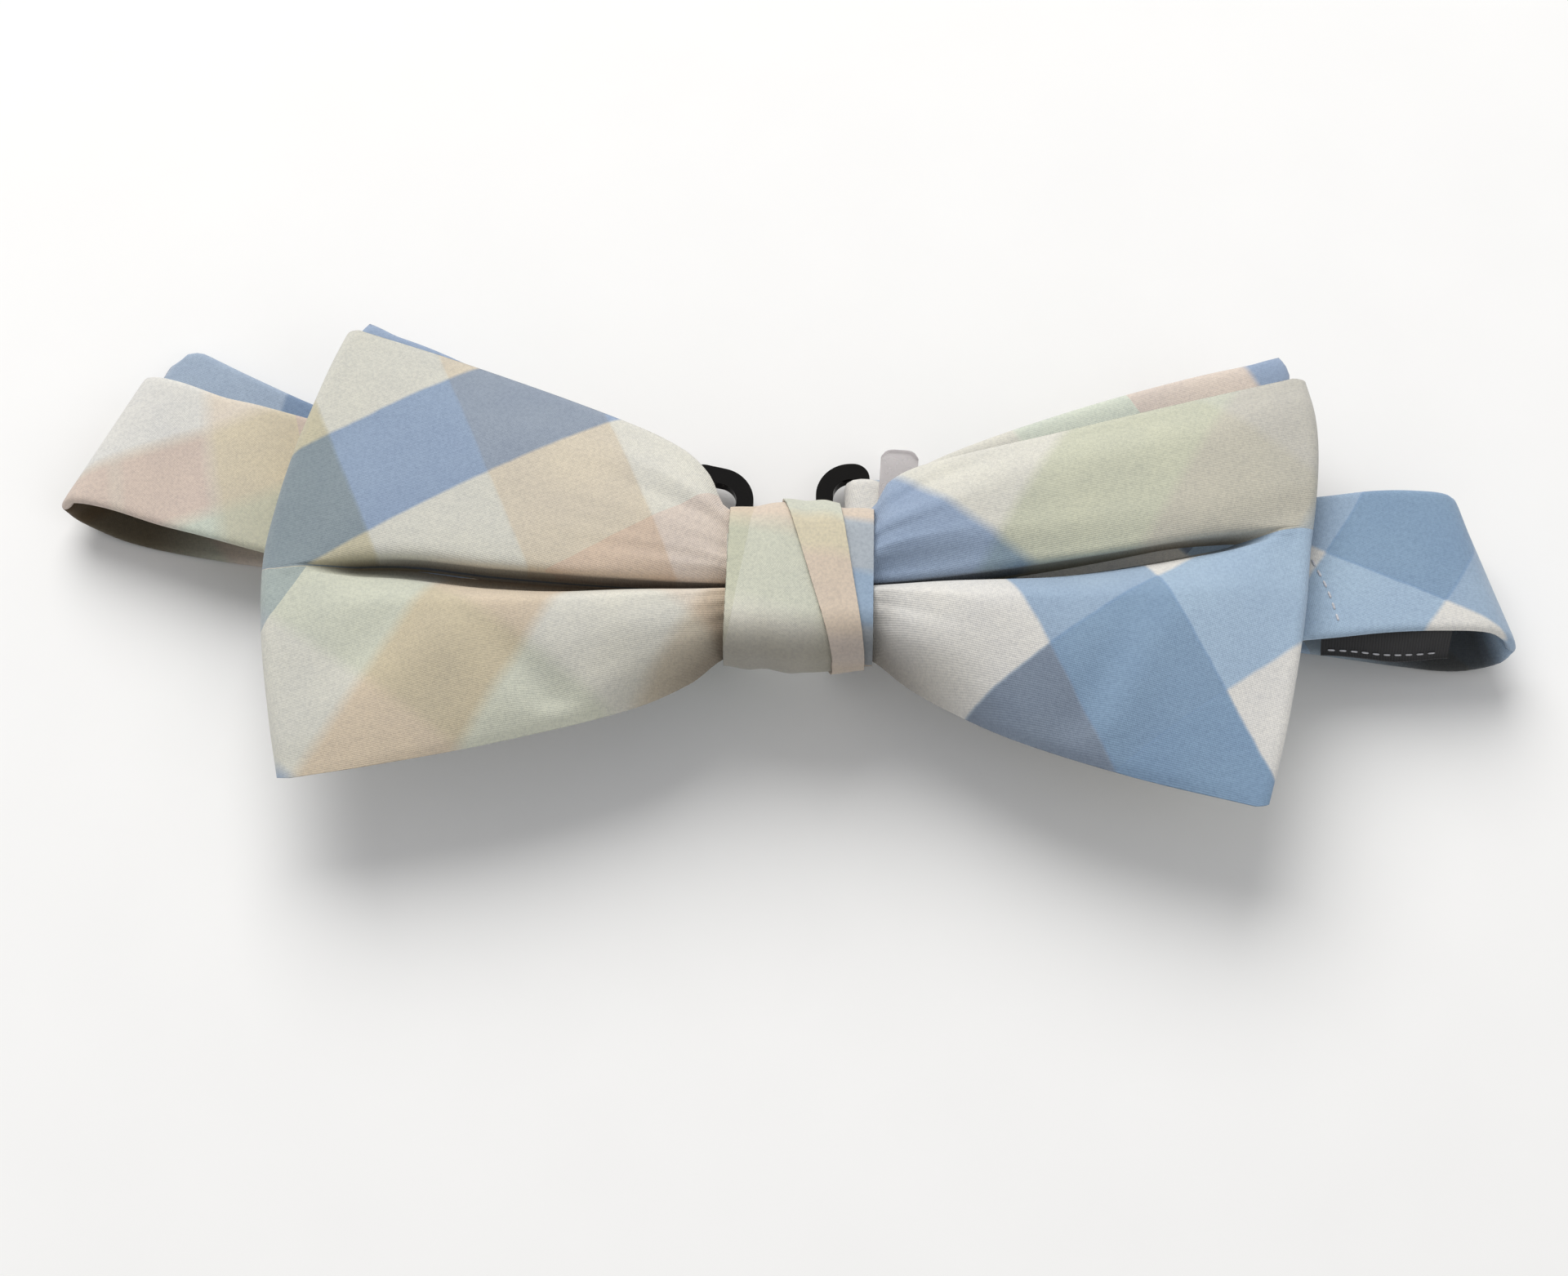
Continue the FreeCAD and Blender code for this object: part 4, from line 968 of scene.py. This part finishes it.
def make_right_strap():
    """Front run with the outer half of the fold, return run with the hook's loop, and the doubled ply."""
    front = Strap([
        ruling(2.0, 0.6, 8.7, 0, 6.6), ruling(9.0, 0.6, 8.8, 0, 7.2), ruling(18.0, 1.0, 8.9, -0.5),
        ruling(30.0, 1.9, 9.4, -0.5), ruling(46.0, 3.2, 10.2, 0), ruling(58.0, 4.2, 10.9, 0),
        ruling(63.0, 4.6, 11.1, 0), ruling(69.0, 5.2, 11.3, -3), ruling(74.8, 5.3, 11.4, -9),
        ruling(79.6, 5.2, 10.6, -13), ruling(81.5, 4.7, 8.0, -17.5), ruling(82.1, 4.5, 6.0, -18),
    ], 43.0)
    obj = make_strap("right_strap_front_cloth", front, RIGHT_STRAP_PLAID, RIGHT_STRAP_LAY)
    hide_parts("right_strap_front", "right_strap_fold")
    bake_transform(obj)
    back = Strap([
        ruling(82.1, 4.5, 6.0, -18), ruling(81.2, 4.3, 3.0, -15), ruling(77.6, 4.4, 1.0, -8),
        ruling(72.0, 5.2, 0.7, -3), ruling(66.0, 6.1, 0.9, -0.5), ruling(60.0, 6.7, 1.5, -0.5),
        ruling(45.0, 7.6, 1.5, -0.5), ruling(28.0, 8.7, 1.5, -0.5), ruling(14.0, 9.6, 1.5, -0.5),
        ruling(10.5, 9.8, 1.5, -0.2),
        *bar_wrap((7.3, 10.0, 3.05), 0, -1),
        ruling(10.2, 9.8, 4.4, 0), ruling(13.0, 9.6, 3.0, 0), ruling(16.0, 9.4, 2.8, -1),
    ], 47.0)
    # painted shade darkens the return run just past the fold, inside the loop
    obj = make_strap("right_strap_return_cloth", back, RIGHT_STRAP_PLAID, RIGHT_STRAP_LAY,
                     start_at=front.length,
                     shade=lambda u, v, layer: 0.9 * smooth(0.0, 0.05, u) * (1 - smooth(0.1, 0.25, u)))
    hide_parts("right_strap_return")
    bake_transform(obj)
    square = -RIGHT_RETURN_SLOPE
    doubled = Strap([
        ruling(16.9, 9.4, 2.75, square), ruling(30.0, 8.55, 2.75, square), ruling(46.6, 7.5, 2.75, square),
    ], 53.0)
    obj = make_strap("right_strap_doubled_cloth", doubled, RIGHT_STRAP_PLAID, RIGHT_STRAP_LAY)
    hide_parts("right_strap_doubled")
    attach(obj, "right_return")
    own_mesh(obj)


# ---- small parts ----
KEEPER_WIDTH, KEEPER_WALL, KEEPER_CORNER, KEEPER_SQUARENESS = 4.6, 0.8, 1.3, 2 / 7
LABEL_THICKNESS = 0.35
STITCH_SIDES, STITCH_RINGS = 8, 7


def paint(node, material):
    """Gives a CAD node that stays visible its material."""
    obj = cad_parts[node]
    obj.data.materials.clear()
    obj.data.materials.append(material)


def dashes(name, path, length, gap, radius, body):
    """A run of stitches along a path of (x, y, z) places: one low rounded bar for each."""
    line = chord_spline([Vector(p) for p in path])
    total = sum((Vector(b) - Vector(a)).length for a, b in zip(path, path[1:]))
    points, faces, ring, rings = [], [], STITCH_SIDES, STITCH_RINGS
    for k in range(int((total + gap) / (length + gap))):
        first = len(points)
        for i in range(rings):
            share = i / (rings - 1)
            place = (k * (length + gap) + length * share) / total
            centre, ahead = line(place), line(min(place + 0.01, 1)) - line(max(place - 0.01, 0))
            side = ahead.cross(UP).normalized()
            r = radius * math.sqrt(max(1 - (2 * share - 1) ** 6, 0.04))
            for j in range(ring):
                a = math.tau * j / ring
                points.append(centre + side * r * math.cos(a) + UP * r * math.sin(a))
        for i in range(rings - 1):
            for j in range(ring):
                a, b = first + i * ring + j, first + i * ring + (j + 1) % ring
                faces.append((a, b, b + ring, a + ring))
        last = first + (rings - 1) * ring
        faces.append(tuple(range(first + ring - 1, first - 1, -1)))
        faces.append(tuple(range(last, last + ring)))
    count = len(points)
    obj = build(name, points, faces, [(0, 0)] * count, [0] * len(faces), [THREAD], [0.0] * count)
    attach(obj, body)
    return obj


def make_label():
    """Woven tape sewn inside the front strap, its lower edge hanging clear below the strap's own edge."""

    def surface(u, v):
        x = mix(61.6, 77.2, u)
        drop = mix(1.6, 4.6, smooth(0.0, 0.9, u))
        y = mix(3.2, -5.7 + 0.9 * smooth(0.5, 1.0, u), v)
        z = 10.1 - drop * smooth(0.72, 1.0, v) - 0.2 * v + wobble(x, y, 6.0, 61.0) * 0.1
        return Vector((x, y, z))

    obj = thick_sheet("label_tape", surface, steps(30), steps(24), lambda u, v: LABEL_THICKNESS,
                      lambda u, v: (u, v), [LABEL], both=True)
    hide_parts("label")
    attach(obj, "bow")
    hem = [surface(u, 0.93) + Vector((0, -0.16, 0.2)) for u in (0.05, 0.25, 0.5, 0.75, 0.95)]
    stitches = dashes("label_hem_stitches", hem, 0.9, 0.5, 0.11, "bow")
    seam = dashes("label_seam_stitches", [(60.7, 5.2, 11.75), (62.3, 1.4, 11.78), (63.6, -3.4, 11.75)],
                  0.95, 0.55, 0.15, "bow")
    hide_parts("label_stitches")


def make_keeper():
    """Clear moulded keeper: a flat band round the doubled strap, its corners rounded off in plan."""
    low, high = ((Vector(corner) - ORIGIN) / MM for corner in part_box("strap_keeper"))
    middle = (low + high) / 2
    half_x, half_y, half_z = KEEPER_WIDTH / 2, (high.y - low.y) / 2, (high.z - low.z) / 2
    turned = Matrix.Rotation(math.radians(RIGHT_RETURN_SLOPE), 3, "Z")

    def surface(turn, v):
        a = math.tau * turn
        c, s = math.cos(a), math.sin(a)
        y = half_y * math.copysign(abs(c) ** KEEPER_SQUARENESS, c)
        z = half_z * math.copysign(abs(s) ** KEEPER_SQUARENESS, s)
        corner = KEEPER_CORNER * abs(2 * v - 1) ** 5 * abs(y / half_y) ** 8
        return middle + turned @ Vector((mix(-half_x, half_x, v), math.copysign(abs(y) - corner, y), z))

    obj = thick_sheet("keeper_band", surface, [i / 96 for i in range(97)], steps(12),
                      lambda u, v: KEEPER_WALL, lambda u, v: (u, v), [PLASTIC])
    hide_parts("strap_keeper")
    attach(obj, "keeper")


def finish_cad_nodes():
    """Materials of the CAD nodes that stay in view."""
    for node in ("ring", "hook", "slider"):
        paint(node, BLACK_COAT)
    for node in ("waist_thread", "strap_anchor_stitches", "left_bar_tack"):
        paint(node, THREAD)
    for node in ("knot_padding", "tail_waist"):
        paint(node, LINING)
    paint("slider_strap_end", RIGHT_STRAP_PLAID)


# ---- stage ----
CAMERA_LENS, CAMERA_DISTANCE, CAMERA_TILT = 85.0, 430.0, 66.0
CAMERA_SHIFT = (-0.0114583333, -0.0346354167)
AIM = (0.0, -1.85, 20.5)
FLOOR_HALF = 3.0  # metres
WORLD_STRENGTH = 0.44


def make_camera():
    """Looks down on the bow's front from its lower edge."""
    data = bpy.data.cameras.new("camera")
    data.lens = CAMERA_LENS
    data.sensor_width = 36.0
    data.clip_start, data.clip_end = 0.01, 20.0
    data.shift_x, data.shift_y = CAMERA_SHIFT
    camera = place_object("camera", data)
    tilt = math.radians(CAMERA_TILT)
    aim = at(*AIM)
    camera.location = aim + Vector((0, -math.cos(tilt), math.sin(tilt))) * CAMERA_DISTANCE * MM
    camera.rotation_euler = (aim - camera.location).to_track_quat("-Z", "Y").to_euler()
    bpy.context.scene.camera = camera


def make_light(name, place, size, power, colour):
    """Soft round lamp at a place in metres, aimed at the origin."""
    data = bpy.data.lights.new(name, "AREA")
    data.shape, data.size, data.energy, data.color = "DISK", size, power, colour
    light = place_object(name, data)
    light.location = place
    light.rotation_euler = (-Vector(place)).to_track_quat("-Z", "Y").to_euler()


def make_stage():
    """White paper floor, even light from all round, a large key lamp behind and a weak fill in front."""
    mesh = bpy.data.meshes.new("floor")
    corners = [(x * FLOOR_HALF, y * FLOOR_HALF, 0) for x, y in ((-1, -1), (1, -1), (1, 1), (-1, 1))]
    mesh.from_pydata(corners, [], [(0, 1, 2, 3)])
    mesh.materials.append(floor_surface())
    floor = place_object("floor", mesh)
    world = bpy.data.worlds.new("studio")
    world.use_nodes = True
    background = world.node_tree.nodes["Background"]
    background.inputs["Color"].default_value = (1.0, 1.0, 1.0, 1)
    background.inputs["Strength"].default_value = WORLD_STRENGTH
    bpy.context.scene.world = world
    bpy.context.scene.view_settings.view_transform = "Standard"
    make_light("key", (-0.2, 0.7, 0.8), 0.95, 10.0, (1.0, 0.985, 0.96))
    make_light("fill", (0.7, -0.5, 0.8), 0.8, 1.0, (0.97, 0.985, 1.0))


# ---- assembly ----
make_camera()
make_stage()
make_wing(LEFT, "left", [LEFT_UPPER, LEFT_LOWER], [LEFT_UPPER_LAY, LEFT_LOWER_LAY], ["loop_waist"])
make_wing(RIGHT, "right", [RIGHT_UPPER, RIGHT_LOWER], [RIGHT_UPPER_LAY, RIGHT_LOWER_LAY])
make_tail(LEFT_TAIL, "left", TAIL_LEFT, Lay(26, 116, (-40.0, 29.0), (1.0, 1.0)))
make_tail(RIGHT_TAIL, "right", TAIL_RIGHT, Lay(-60, 30, (54.0, 29.5), (1.0, 1.0)))
make_knot()
make_left_strap()
make_right_strap()
make_label()
make_keeper()
finish_cad_nodes()
